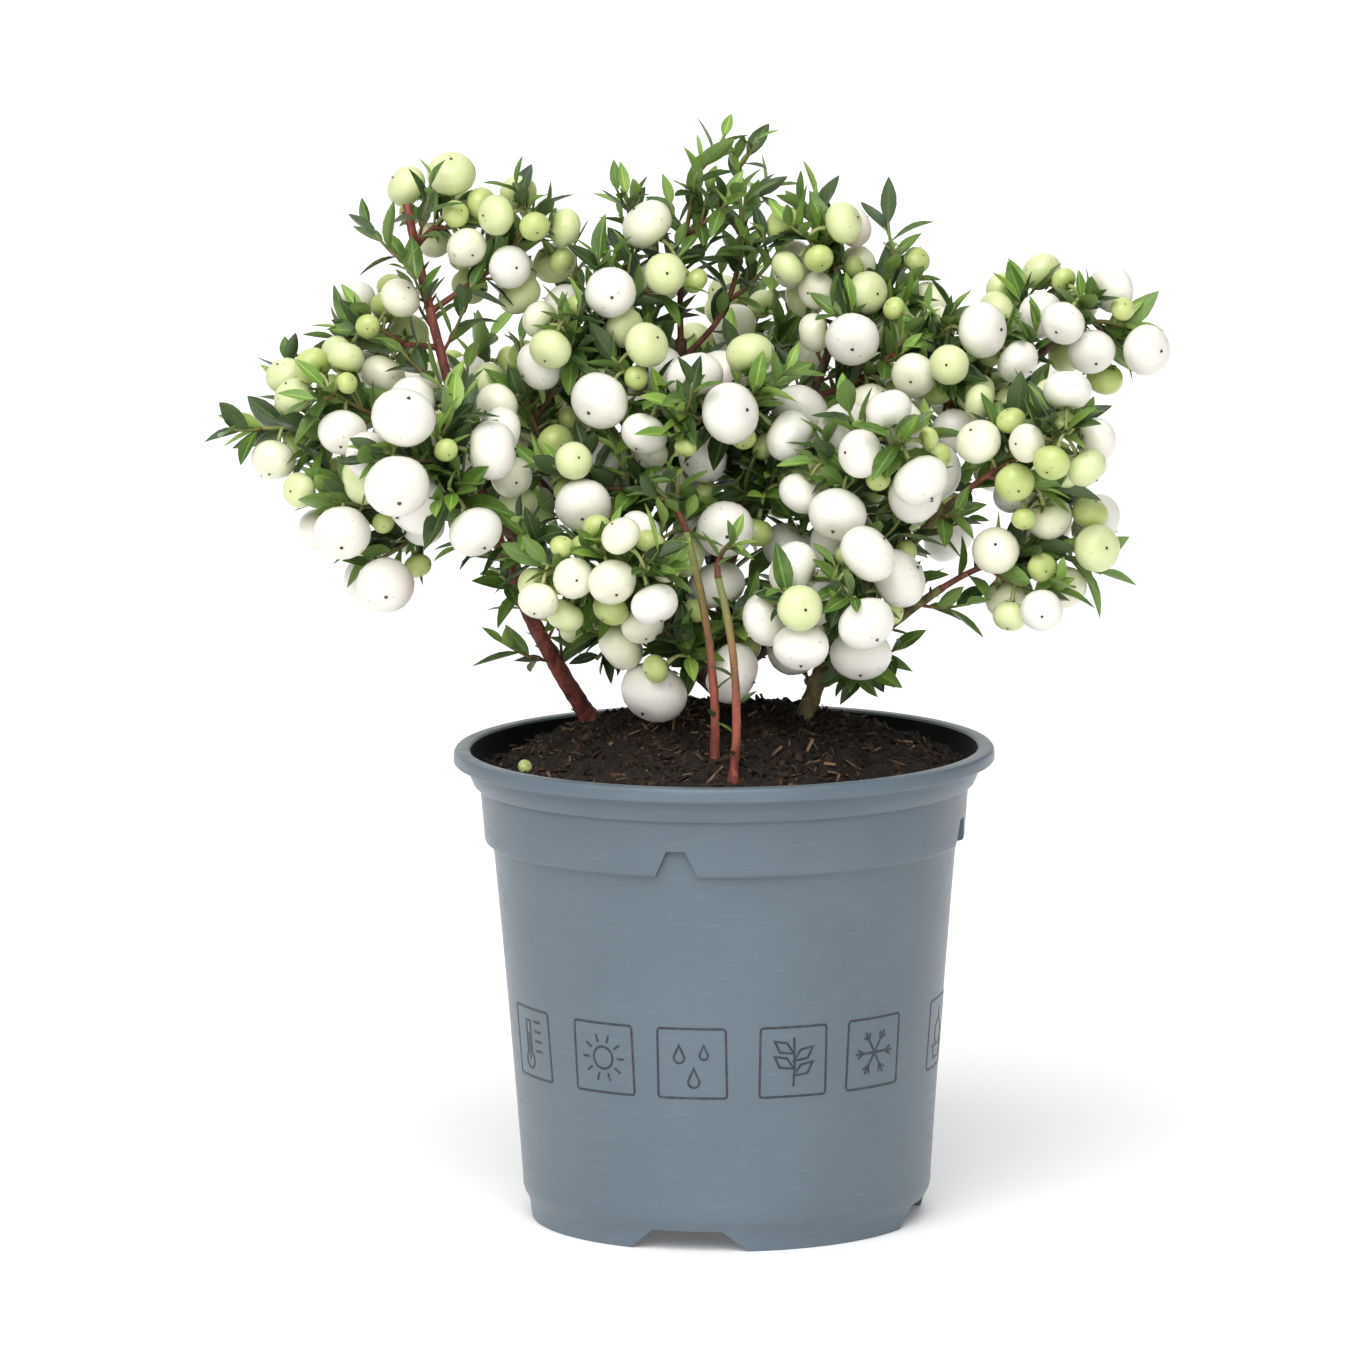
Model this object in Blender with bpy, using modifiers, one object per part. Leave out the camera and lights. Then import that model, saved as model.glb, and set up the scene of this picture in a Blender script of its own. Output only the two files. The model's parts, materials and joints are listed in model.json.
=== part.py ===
"""Potted prickly heath: a small evergreen shrub with white berries, in a plastic nursery pot.

The pot, the peat, the stems and the boughs are solids of their own. Each spray of twigs, leaves
and berries is one solid too, grown by one seeded rule from a short row of named sizes.
Sizes are in millimetres, measured from the pot's axis at ground level, with +X to the right,
+Y to the back and +Z up. The meshes themselves are in metres.
"""

import math
import random
from dataclasses import dataclass

import bmesh
import bpy
import numpy as np
from mathutils import Matrix, Vector

MM = 0.001
GAP = 0.3
UP = Vector((0.0, 0.0, 1.0))
GOLDEN_ANGLE = math.radians(137.5)
OBJECT_NAME = "potted_prickly_heath"

# The pot: a turned shell with a rolled lip, a stacking ledge and a low foot ring.
POT_HEIGHT = 105.6
LIP_RADIUS = 60.0
MOUTH_RADIUS = 56.1
LEDGE_HEIGHT = 84.8
BAND_RADIUS = 53.3
BODY_TOP_RADIUS = 51.0
BODY_FOOT_RADIUS = 45.5
FOOT_RADIUS = 43.6
FOOT_HEIGHT = 4.6
WALL = 1.2
FLOOR_HEIGHT = 5.0
POT_SEGMENTS = 32
QUARTERS = 4
STACKING_ANGLE = math.radians(-101.5)
DRAIN_RADIUS = 4.0
DRAIN_CIRCLE = 30.0

# The peat: it fills the pot and is heaped round the stems.
PEAT_EDGE_HEIGHT = 100.4
PEAT_HEAP = 9.5
PEAT_LUMP = 0.7
SEAT_MARGIN = 0.7
SEAT_SPREAD = 2.6
SEAT_DEPTH = 5.0

# Limbs: six-sided, tapered, with a flare where they stand on the peat.
LIMB_SIDES = 6
LIMB_STEPS = 4
FLARE = 1.5
FLARE_HEIGHT = 2.6
STEEPEST_FORK = math.radians(55.0)
BOUGH_TILT = 1.0
SHOOT_TILT = 0.36
TILT_MARGIN = 0.06
LIMB_FLAT = 0.93

# Sprays: three-sided twigs, eight-faced leaves, berries on short nodding stalks.
TWIG_SIDES = 3
MAIN_STEPS = 4
SIDE_STEPS = 2
MAIN_RADIUS = 1.2
SIDE_RADIUS = 0.95
STALK_RADIUS = 0.75
STALK_LENGTH = (2.6, 5.6)
LEAF_WIDTH = 0.46
LEAF_THICKNESS = 0.05
LEAF_WIDEST = 0.42
LEAF_ANGLE = math.radians(52.0)
BERRY_SIDES = 6
BERRY_RINGS = ((-0.42, 0.94), (0.36, 0.98))
BERRY_NAVEL = 0.86
BERRY_TRIES = 14
LEAF_TRIES = 5
CLEAR = 0.35
FLAT_ANGLE = math.radians(0.5)


@dataclass
class Stem:
    """A limb that stands on the peat, with its foot and tip in the pot's frame."""

    name: str
    foot: tuple
    tip: tuple
    bow: tuple
    radii: tuple


@dataclass
class Bough:
    """A limb that springs from another one, at a share of that one's length."""

    name: str
    limb: str
    along: float
    tip: tuple
    bow: tuple
    radii: tuple


@dataclass
class Spray:
    """A mass of twigs, leaves and berries: where its stem starts, how far it reaches, what it bears."""

    name: str
    limb: str
    along: float
    tip: tuple
    side_shoots: int
    berries: int
    berry: float
    leaves: int
    leaf: float
    seed: int


STEMS = (
    Stem("stem_left", (-30, 14, 109.5), (-52, -12, 161), (-2, 0, 0), (2.4, 1.5)),
    Stem("stem_centre", (2, 8, 111.0), (-4, 9, 152), (2, 0, 0), (3.3, 2.2)),
    Stem("stem_right", (17, 0, 110.0), (26, -4, 133), (0, 0, 0), (2.2, 1.7)),
    Stem("stem_front_left", (-2, -35, 107.4), (-8, -33, 158), (2, 0, 0), (1.15, 0.9)),
    Stem("stem_front_right", (2, -43, 105.4), (-1, -41, 149), (2, 0, 0), (1.15, 0.9)),
)
BOUGHS = (
    Bough("bough_left_upper", "stem_left", 1.0, (-69, -4, 227), (-1, 0, 0), (1.3, 0.95)),
    Bough("bough_left_front", "stem_centre", 0.2, (-50, -27, 159), (2, -4, 3), (1.6, 1.1)),
    Bough("bough_left_inner", "stem_centre", 0.45, (-25, -1, 166), (-2, 0, 0), (1.5, 1.1)),
    Bough("bough_top", "stem_centre", 1.0, (-9, 10, 195), (-1, 0, 0), (1.9, 1.3)),
    Bough("bough_top_right", "stem_centre", 0.86, (25, 5, 196), (2, 0, 0), (1.5, 1.0)),
    Bough("bough_right", "stem_centre", 0.62, (73, 2, 195), (2, 0, -4), (1.7, 1.0)),
    Bough("bough_right_middle", "stem_right", 1.0, (51, -22, 163), (0, 0, 1), (1.5, 1.0)),
    Bough("bough_right_low", "stem_right", 0.55, (48, -18, 143), (0, 0, 1), (1.3, 0.9)),
    Bough("bough_back_left", "stem_centre", 0.3, (-44, 42, 163), (0, 0, -3), (1.6, 1.0)),
    Bough("bough_back", "stem_centre", 0.54, (2, 50, 166), (0, 0, -4), (1.5, 1.0)),
    Bough("bough_back_right", "stem_centre", 0.36, (46, 42, 160), (0, 0, -3), (1.6, 1.0)),
)
SPRAYS = (
    Spray("spray_far_left", "bough_left_upper", 0.28, (-101, -8, 178), 2, 4, 10.0, 7, 15, 11),
    Spray("spray_left_upper", "bough_left_upper", 0.52, (-82, 4, 196), 2, 4, 9.5, 6, 14, 12),
    Spray("spray_left_front", "bough_left_front", 1.0, (-62, -42, 184), 3, 6, 12.5, 7, 15, 13),
    Spray("spray_left_low", "stem_left", 0.93, (-85, -24, 164), 3, 6, 11.0, 7, 15, 14),
    Spray("spray_top_left", "bough_left_upper", 0.86, (-58, 4, 226), 2, 5, 9.0, 6, 13, 15),
    Spray("spray_top_left_inner", "bough_left_upper", 0.64, (-37, 2, 221), 2, 5, 9.0, 6, 13, 16),
    Spray("spray_left_inner", "bough_left_inner", 1.0, (-23, -8, 217), 3, 5, 11.0, 6, 14, 17),
    Spray("spray_left_inner_low", "bough_left_inner", 0.9, (-44, -8, 198), 2, 4, 9.0, 6, 14, 18),
    Spray("spray_top", "bough_top", 1.0, (-5, 8, 232), 2, 0, 8.0, 10, 14, 19),
    Spray("spray_top_back", "bough_top", 0.9, (4, 14, 231), 2, 0, 8.0, 9, 14, 20),
    Spray("spray_top_shoot_left", "bough_top", 0.7, (-19, 14, 220), 1, 0, 8.0, 7, 14, 21),
    Spray("spray_top_right", "bough_top_right", 1.0, (20, 6, 221), 2, 4, 9.0, 6, 14, 22),
    Spray("spray_top_right_outer", "bough_top_right", 0.93, (38, 10, 212), 2, 4, 9.0, 6, 14, 23),
    Spray("spray_right_upper", "bough_top_right", 0.72, (45, -6, 203), 2, 5, 10.0, 6, 14, 24),
    Spray("spray_right_upper_outer", "bough_right", 0.62, (60, -8, 200), 2, 5, 11.0, 6, 14, 25),
    Spray("spray_far_right", "bough_right", 1.0, (89, -2, 199), 2, 4, 10.0, 6, 14, 26),
    Spray("spray_far_right_top", "bough_right", 0.9, (76, 6, 205), 1, 3, 9.5, 4, 14, 27),
    Spray("spray_right_middle", "bough_right_middle", 1.0, (78, -26, 179), 3, 6, 9.5, 7, 15, 28),
    Spray("spray_right_inner", "bough_right_middle", 0.62, (29, -40, 182), 3, 6, 11.5, 6, 14, 29),
    Spray("spray_centre", "bough_top", 0.12, (8, -30, 190), 2, 4, 12.5, 6, 15, 30),
    Spray("spray_centre_left", "bough_top", 0.35, (-14, -30, 188), 2, 4, 11.5, 6, 14, 31),
    Spray("spray_right_low", "bough_right_low", 1.0, (80, -18, 152), 2, 5, 11.0, 6, 15, 32),
    Spray("spray_front_right", "bough_right_low", 0.45, (24, -50, 150), 2, 4, 13.0, 6, 14, 33),
    Spray("spray_front_left", "bough_left_front", 0.4, (-28, -46, 157), 3, 6, 9.5, 6, 14, 34),
    Spray("spray_front_shoot", "stem_front_left", 1.0, (-15, -33, 168), 1, 0, 8.0, 5, 11, 35),
    Spray("spray_front_shoot_low", "stem_front_right", 1.0, (3, -43, 158), 0, 0, 8.0, 4, 11, 36),
    Spray("spray_left_behind", "bough_back_left", 0.8, (-40, 26, 184), 2, 4, 9.0, 5, 14, 37),
    Spray("spray_back_left", "bough_back_left", 1.0, (-77, 44, 176), 2, 4, 10.0, 7, 15, 38),
    Spray("spray_back_left_low", "bough_back_left", 0.86, (-48, 68, 167), 2, 3, 10.0, 6, 15, 39),
    Spray("spray_back", "bough_back", 1.0, (-12, 79, 168), 2, 4, 10.5, 7, 15, 40),
    Spray("spray_back_upper", "bough_back", 0.85, (6, 54, 203), 3, 4, 10.0, 7, 14, 41),
    Spray("spray_back_right", "bough_back_right", 1.0, (76, 40, 173), 2, 4, 10.0, 7, 15, 42),
    Spray("spray_back_right_low", "bough_back_right", 0.86, (38, 71, 164), 2, 4, 10.5, 6, 15, 43),
    Spray("spray_back_right_upper", "bough_back_right", 0.7, (48, 42, 194), 2, 4, 9.5, 6, 14, 44),
)


def across(vector, run):
    """The part of a vector that lies square to a run, at unit length."""
    part = vector - run * vector.dot(run)
    if part.length < 1e-6:
        part = run.orthogonal()
    return part.normalized()


class Room:
    """The room that limbs and sprays already fill, as rounded bars, each with its owner."""

    def __init__(self):
        self.starts = []
        self.ends = []
        self.radii = []
        self.owners = []

    def fill(self, owner, start, end, radius):
        self.starts.append(tuple(start))
        self.ends.append(tuple(end))
        self.radii.append(radius)
        self.owners.append(owner)

    def fill_path(self, owner, points, radii):
        for start, end, radius in zip(points, points[1:], radii):
            self.fill(owner, start, end, radius)

    def free(self, start, end, radius, beside=CLEAR, without=()):
        """Whether a rounded bar keeps its distance from all that is there but some owners' pieces."""
        if not self.starts:
            return True
        first, run = np.array(start), np.array(end) - np.array(start)
        starts = np.array(self.starts)
        runs = np.array(self.ends) - starts
        away = first - starts
        long_first = max(run @ run, 1e-9)
        long_others = np.maximum((runs * runs).sum(1), 1e-9)
        skew = runs @ run
        near_first = away @ run
        near_others = (runs * away).sum(1)
        spread = np.maximum(long_first * long_others - skew * skew, 1e-9)
        here = np.clip((skew * near_others - near_first * long_others) / spread, 0, 1)
        there = np.clip((skew * here + near_others) / long_others, 0, 1)
        here = np.clip((skew * there - near_first) / long_first, 0, 1)
        between = away + here[:, None] * run - there[:, None] * runs
        room = np.sqrt((between * between).sum(1)) - np.array(self.radii) - radius
        counted = np.array([owner not in without for owner in self.owners])
        return not (room[counted] < beside).any()


class Limb:
    """A limb's middle line and its taper."""

    def __init__(self, points, radii):
        self.points = points
        self.radii = radii

    def at(self, along):
        """Middle, heading and radius at a share of the length."""
        place = min(along, 1.0) * (len(self.points) - 1)
        index = min(int(place), len(self.points) - 2)
        share = place - index
        start, end = self.points[index], self.points[index + 1]
        radius = self.radii[index] * (1 - share) + self.radii[index + 1] * share
        return start.lerp(end, share), (end - start).normalized(), radius


def bowed(start, end, bow, steps):
    """A line from start to end, pushed aside by the bow at its middle."""
    shares = [step / steps for step in range(steps + 1)]
    return [start.lerp(end, share) + bow * (4 * share * (1 - share)) for share in shares]


def headed(start, heading, end, steps):
    """A curve that leaves start along a heading and bends over to end."""
    turn = start + heading * ((end - start).length * 0.45)
    points = []
    for step in range(steps + 1):
        share = step / steps
        points.append(start.lerp(turn, share).lerp(turn.lerp(end, share), share))
    return points


def tapered(radii, count):
    return [radii[0] + (radii[1] - radii[0]) * step / (count - 1) for step in range(count)]


def spring(limb, along, aim, radius, bend):
    """Where a side limb starts clear of the limb that carries it, and its heading there.

    The bend is how far its foot tilts with its aim: fully on a straight bough, little on a shoot.
    """
    middle, run, thick = limb.at(along)
    if along >= 1.0:
        tilt = bend * math.sin((aim - middle).angle(run)) + TILT_MARGIN
        return middle + run * (GAP + radius * tilt), run
    out = across(aim - middle, run)
    fork = min(max((aim - middle).angle(run), STEEPEST_FORK), math.pi - STEEPEST_FORK)
    heading = (out * math.sin(fork) + run * math.cos(fork)).normalized()
    reach = (thick * LIMB_FLAT + GAP + radius * abs(math.cos(fork))) / math.sin(fork)
    return middle + heading * reach, heading


def grown_limbs(room):
    """Every stem and bough by name, with its room filled."""
    limbs = {}
    for stem in STEMS:
        foot = Vector(stem.foot)
        line = bowed(foot, Vector(stem.tip), Vector(stem.bow), LIMB_STEPS)
        flare_top = foot.lerp(line[1], FLARE_HEIGHT / (line[1] - foot).length)
        taper = tapered(stem.radii, LIMB_STEPS + 1)
        points = [foot, flare_top] + line[1:]
        limbs[stem.name] = Limb(points, [stem.radii[0] * FLARE] + taper)
    for bough in BOUGHS:
        tip = Vector(bough.tip)
        start, _ = spring(limbs[bough.limb], bough.along, tip, bough.radii[0], BOUGH_TILT)
        line = bowed(start, tip, Vector(bough.bow), LIMB_STEPS)
        limbs[bough.name] = Limb(line, tapered(bough.radii, LIMB_STEPS + 1))
    for name, limb in limbs.items():
        room.fill_path(name, limb.points, limb.radii)
    return limbs


@dataclass
class Shoot:
    points: list
    radii: list


@dataclass
class Berry:
    stalk: tuple
    middle: Vector
    radius: float


@dataclass
class Leaf:
    root: Vector
    heading: Vector
    face: Vector
    length: float


def main_shoot(spray, limbs, room):
    """The spray's stem: it leaves its limb and runs to the furthest tip."""
    tip = Vector(spray.tip)
    start, heading = spring(limbs[spray.limb], spray.along, tip, MAIN_RADIUS, SHOOT_TILT)
    points = headed(start, heading, tip, MAIN_STEPS)
    radii = tapered((MAIN_RADIUS, MAIN_RADIUS * 0.62), len(points))
    room.fill_path(spray.name, points, radii)
    return Shoot(points, radii)


def side_shoots(spray, main, room):
    """Shorter shoots round the spray's stem, by the golden angle."""
    chance = random.Random(spray.seed)
    length = (main.points[-1] - main.points[0]).length
    limb = Limb(main.points, main.radii)
    shoots = []
    turn = chance.uniform(0, math.tau)
    for index in range(spray.side_shoots):
        along = 0.22 + 0.56 * (index + 0.5) / spray.side_shoots
        middle, run, _ = limb.at(along)
        size = min(30.0, length * chance.uniform(0.36, 0.5) + 3.0)
        for _ in range(BERRY_TRIES):
            turn += GOLDEN_ANGLE
            side = across(UP, run)
            out = side * math.cos(turn) + run.cross(side) * math.sin(turn)
            end = middle + (run * chance.uniform(0.6, 0.9) + out + UP * 0.2).normalized() * size
            points = headed(middle, (run + out * 1.4).normalized(), end, SIDE_STEPS)
            radii = tapered((SIDE_RADIUS, SIDE_RADIUS * 0.7), len(points))
            if room.free(points[1], points[2], SIDE_RADIUS, without=(spray.name,)):
                room.fill_path(spray.name, points, radii)
                shoots.append(Shoot(points, radii))
                break
    return shoots


def shared_out(count, shoots):
    """How many of the count each shoot bears, by its length."""
    lengths = [(shoot.points[-1] - shoot.points[0]).length for shoot in shoots]
    left, total, shares = count, sum(lengths), []
    for length in lengths:
        share = min(left, round(left * length / total))
        shares.append(share)
        left -= share
        total -= length
    return shares


def berries_on(spray, shoots, room):
    """Berries set along the shoots, each nodding on its own stalk."""
    chance = random.Random(spray.seed + 100)
    berries = []
    for shoot, count in zip(shoots, shared_out(spray.berries, shoots)):
        limb = Limb(shoot.points, shoot.radii)
        turn = chance.uniform(0, math.tau)
        for index in range(count):
            radius = spray.berry * chance.uniform(0.8, 1.15) / 2
            for attempt in range(BERRY_TRIES):
                along = 0.3 + 0.68 * (index + chance.uniform(0.2, 0.9)) / count
                middle, run, _ = limb.at(along)
                turn += GOLDEN_ANGLE
                side = across(UP, run)
                out = side * math.cos(turn) + run.cross(side) * math.sin(turn)
                aim = (out + run * 0.3 - UP * 0.35).normalized()
                centre = middle + aim * (chance.uniform(*STALK_LENGTH) + radius)
                knot = centre - aim * radius
                if room.free(centre, centre, radius) and room.free(
                    middle.lerp(knot, 0.4), knot, STALK_RADIUS, without=(spray.name,)
                ):
                    room.fill(spray.name, centre, centre, radius)
                    room.fill(spray.name, middle, knot, STALK_RADIUS)
                    berries.append(Berry((middle, centre), centre, radius))
                    break
    return berries


def leaf_room(leaf):
    """The bar that a leaf keeps for itself."""
    half = leaf.length * LEAF_WIDTH / 2
    return (
        leaf.root + leaf.heading * (leaf.length * 0.25),
        leaf.root + leaf.heading * (leaf.length * 0.8),
        half,
    )


def leaves_on(spray, shoots, room):
    """Leaves spiralling up the shoots, with one at each tip."""
    chance = random.Random(spray.seed + 200)
    leaves = []
    for shoot, count in zip(shoots, shared_out(spray.leaves, shoots)):
        limb = Limb(shoot.points, shoot.radii)
        turn = chance.uniform(0, math.tau)
        for index in range(count):
            last = index == count - 1
            for attempt in range(LEAF_TRIES):
                along = 0.97 if last else 0.12 + 0.85 * (index + chance.uniform(0.1, 0.9)) / count
                middle, run, _ = limb.at(along)
                turn += GOLDEN_ANGLE
                side = across(UP, run)
                out = side * math.cos(turn) + run.cross(side) * math.sin(turn)
                angle = math.radians(12.0) if last else LEAF_ANGLE * chance.uniform(0.8, 1.2)
                heading = (run * math.cos(angle) + out * math.sin(angle)).normalized()
                face = across(run + UP * 0.8, heading)
                leaf = Leaf(middle, heading, face, spray.leaf * chance.uniform(0.85, 1.1))
                start, end, half = leaf_room(leaf)
                blade = leaf.root + leaf.heading * (leaf.length * 0.4)
                own_room = room.free(blade, end, half * 0.5, beside=0.1)
                if own_room and room.free(start, end, half, without=(spray.name,)):
                    room.fill(spray.name, start, end, half * 0.6)
                    leaves.append(leaf)
                    break
    return leaves


def new_material(name, colour, roughness):
    material = bpy.data.materials.new(name)
    material.use_nodes = True
    shader = material.node_tree.nodes["Principled BSDF"]
    shader.inputs["Base Color"].default_value = (*colour, 1.0)
    shader.inputs["Roughness"].default_value = roughness
    shader.inputs["Metallic"].default_value = 0.0
    return material


def new_object(name, bm, collection, material=None):
    """A mesh object from a bmesh in millimetres."""
    bmesh.ops.scale(bm, vec=(MM, MM, MM), verts=bm.verts)
    bmesh.ops.recalc_face_normals(bm, faces=bm.faces)
    mesh = bpy.data.meshes.new(name)
    bm.to_mesh(mesh)
    bm.free()
    if material:
        mesh.materials.append(material)
    obj = bpy.data.objects.new(name, mesh)
    collection.objects.link(obj)
    return obj


def tube(points, radii, sides, level_foot=False):
    """A closed tapered tube: one ring of corners a point, flat caps, a level foot where it stands."""
    bm = bmesh.new()
    side = Vector((1.0, 0.0, 0.0))
    rings = []
    for index, (point, radius) in enumerate(zip(points, radii)):
        ahead = points[min(index + 1, len(points) - 1)]
        behind = points[max(index - 1, 0)]
        run = UP if level_foot and index == 0 else (ahead - behind).normalized()
        side = across(side, run)
        other = run.cross(side)
        ring = []
        for corner in range(sides):
            angle = math.tau * corner / sides
            out = side * math.cos(angle) + other * math.sin(angle)
            ring.append(bm.verts.new(point + out * radius))
        rings.append(ring)
    for lower, upper in zip(rings, rings[1:]):
        for corner in range(sides):
            after = (corner + 1) % sides
            bm.faces.new((lower[corner], lower[after], upper[after], upper[corner]))
    bm.faces.new(reversed(rings[0]))
    bm.faces.new(rings[-1])
    bmesh.ops.triangulate(bm, faces=bm.faces)
    return bm


def berry_shape(berry):
    """A stalk of three sides that opens into a six-sided berry, low at its navel."""
    root, middle, radius = berry.stalk[0], berry.middle, berry.radius
    run = (middle - root).normalized()
    side = across(UP, run)
    other = run.cross(side)
    bm = bmesh.new()

    def ring(centre, size, corners):
        angles = [math.tau * corner / corners for corner in range(corners)]
        return [
            bm.verts.new(centre + (side * math.cos(a) + other * math.sin(a)) * size) for a in angles
        ]

    foot = ring(root, STALK_RADIUS, TWIG_SIDES)
    neck = ring(middle - run * (radius * 0.92), STALK_RADIUS, TWIG_SIDES)
    rings = [
        ring(middle + run * (radius * along), radius * size, BERRY_SIDES)
        for along, size in BERRY_RINGS
    ]
    bm.faces.new(reversed(foot))
    for corner in range(TWIG_SIDES):
        after = (corner + 1) % TWIG_SIDES
        bm.faces.new((foot[corner], foot[after], neck[after], neck[corner]))
        first, middle_one, last = (rings[0][(2 * corner + k) % BERRY_SIDES] for k in range(3))
        bm.faces.new((neck[corner], middle_one, first))
        bm.faces.new((neck[corner], neck[after], middle_one))
        bm.faces.new((neck[after], last, middle_one))
    for upper, lower in zip(rings, rings[1:]):
        for corner in range(BERRY_SIDES):
            after = (corner + 1) % BERRY_SIDES
            bm.faces.new((upper[corner], upper[after], lower[after], lower[corner]))
    navel = bm.verts.new(middle + run * (radius * BERRY_NAVEL))
    for corner in range(BERRY_SIDES):
        bm.faces.new((rings[-1][corner], rings[-1][(corner + 1) % BERRY_SIDES], navel))
    bmesh.ops.triangulate(bm, faces=bm.faces)
    return bm


def leaf_shape(leaf):
    """A double pyramid of eight faces: rooted in the twig, widest near its foot, sharp at its tip."""
    bm = bmesh.new()
    bmesh.ops.create_uvsphere(bm, u_segments=4, v_segments=2, radius=1.0)
    across_leaf = leaf.heading.cross(leaf.face)
    for vert in bm.verts:
        x, y, z = vert.co
        if abs(z) < 0.5:
            along = LEAF_WIDEST
        else:
            along = 0.5 + 0.5 * z
        vert.co = (
            leaf.root
            + leaf.heading * (along * leaf.length)
            + across_leaf * (x * leaf.length * LEAF_WIDTH / 2)
            + leaf.face * (y * leaf.length * LEAF_THICKNESS / 2)
        )
    return bm


def fused(name, shapes, collection, material):
    """One solid from shapes that run into each other; a scrap that joins nothing is dropped."""
    helpers = bpy.data.collections.new(name + "_pieces")
    bpy.context.scene.collection.children.link(helpers)
    whole = new_object(name, shapes[0], collection, material)
    for index, shape in enumerate(shapes[1:]):
        new_object(f"{name}_piece_{index}", shape, helpers)
    union = whole.modifiers.new("union", "BOOLEAN")
    union.operation = "UNION"
    union.operand_type = "COLLECTION"
    union.collection = helpers
    union.solver = "EXACT"
    graph = bpy.context.evaluated_depsgraph_get()
    joined = bpy.data.meshes.new_from_object(whole.evaluated_get(graph))
    whole.modifiers.clear()
    whole.data = joined
    for piece in list(helpers.objects):
        bpy.data.objects.remove(piece)
    bpy.data.collections.remove(helpers)
    keep_largest(joined)
    return whole


def keep_largest(mesh):
    """Leaves only the body with the most faces in a mesh."""
    bm = bmesh.new()
    bm.from_mesh(mesh)
    bmesh.ops.dissolve_limit(bm, angle_limit=FLAT_ANGLE, verts=bm.verts, edges=bm.edges)
    bmesh.ops.triangulate(bm, faces=bm.faces)
    left, bodies = set(bm.verts), []
    while left:
        reached, front = set(), [left.pop()]
        while front:
            vert = front.pop()
            reached.add(vert)
            for edge in vert.link_edges:
                other = edge.other_vert(vert)
                if other in left:
                    left.remove(other)
                    front.append(other)
        bodies.append(reached)
    largest = max(bodies, key=len)
    bmesh.ops.delete(bm, geom=[v for v in bm.verts if v not in largest], context="VERTS")
    bm.to_mesh(mesh)
    bm.free()


def pot_profile():
    """The pot's wall from the middle of its floor, up the inside, over the lip and down to the foot."""
    under_lip = POT_HEIGHT - 4.2
    inside = [
        (0.0, FLOOR_HEIGHT + WALL),
        (BODY_FOOT_RADIUS - WALL, FLOOR_HEIGHT + WALL),
        (BODY_TOP_RADIUS - WALL, LEDGE_HEIGHT - 4.8),
        (BODY_TOP_RADIUS - 0.3, POT_HEIGHT - 11.6),
        (MOUTH_RADIUS - 1.2, POT_HEIGHT - 4.6),
        (MOUTH_RADIUS, POT_HEIGHT - 0.7),
    ]
    lip = [
        (MOUTH_RADIUS + 0.7, POT_HEIGHT),
        (LIP_RADIUS - 1.1, POT_HEIGHT),
        (LIP_RADIUS, POT_HEIGHT - 1.1),
        (LIP_RADIUS, POT_HEIGHT - 3.2),
        (MOUTH_RADIUS + 0.6, under_lip + 0.2),
        (BAND_RADIUS + 1.2, POT_HEIGHT - 8.2),
    ]
    outside = [
        (BAND_RADIUS + 0.8, POT_HEIGHT - 9.6),
        (BAND_RADIUS, LEDGE_HEIGHT + 0.8),
        (BODY_TOP_RADIUS + 0.6, LEDGE_HEIGHT - 2.4),
        (BODY_TOP_RADIUS, LEDGE_HEIGHT - 4.4),
        (BODY_FOOT_RADIUS, FOOT_HEIGHT + 5.0),
        (BODY_FOOT_RADIUS - 0.4, FOOT_HEIGHT + 1.6),
        (FOOT_RADIUS + 0.4, FOOT_HEIGHT),
        (FOOT_RADIUS, 0.0),
    ]
    foot = [
        (FOOT_RADIUS - WALL - 0.3, 0.0),
        (FOOT_RADIUS - WALL, FLOOR_HEIGHT),
        (0.0, FLOOR_HEIGHT),
    ]
    return inside + lip + outside + foot


def turned(name, profile, segments, collection, material):
    """A closed turned solid from a profile of radius and height, which starts and ends on the axis."""
    mesh = bpy.data.meshes.new(name)
    points = [(radius * MM, 0.0, height * MM) for radius, height in profile]
    mesh.from_pydata(points, [(i, i + 1) for i in range(len(points) - 1)], [])
    mesh.materials.append(material)
    obj = bpy.data.objects.new(name, mesh)
    collection.objects.link(obj)
    screw = obj.modifiers.new("turn", "SCREW")
    screw.axis = "Z"
    screw.steps = segments
    screw.render_steps = segments
    screw.use_merge_vertices = True
    screw.merge_threshold = 0.00005
    graph = bpy.context.evaluated_depsgraph_get()
    obj.data = bpy.data.meshes.new_from_object(obj.evaluated_get(graph))
    obj.modifiers.clear()
    return obj


def wedge(name, angle, radius, foot_height, top_height, foot_width, top_width, depth, cutters):
    """A block with sloping sides that reaches into the pot's wall, at an angle round it."""
    bm = bmesh.new()
    bmesh.ops.create_cube(bm, size=1.0)
    for vert in bm.verts:
        upper = vert.co.z > 0
        width = top_width if upper else foot_width
        vert.co = Vector(
            (vert.co.x * depth, vert.co.y * width, top_height if upper else foot_height)
        )
    place = Matrix.Rotation(angle, 4, "Z") @ Matrix.Translation((radius + depth / 2, 0, 0))
    bmesh.ops.transform(bm, matrix=place, verts=bm.verts)
    return new_object(name, bm, cutters)


def cut_with(obj, cutters):
    """A Boolean cut by every object of a collection, applied."""
    cut = obj.modifiers.new("cut", "BOOLEAN")
    cut.operation = "DIFFERENCE"
    cut.operand_type = "COLLECTION"
    cut.collection = cutters
    cut.solver = "EXACT"
    graph = bpy.context.evaluated_depsgraph_get()
    obj.data = bpy.data.meshes.new_from_object(obj.evaluated_get(graph))
    obj.modifiers.clear()
    for cutter in list(cutters.objects):
        bpy.data.objects.remove(cutter)


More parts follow.
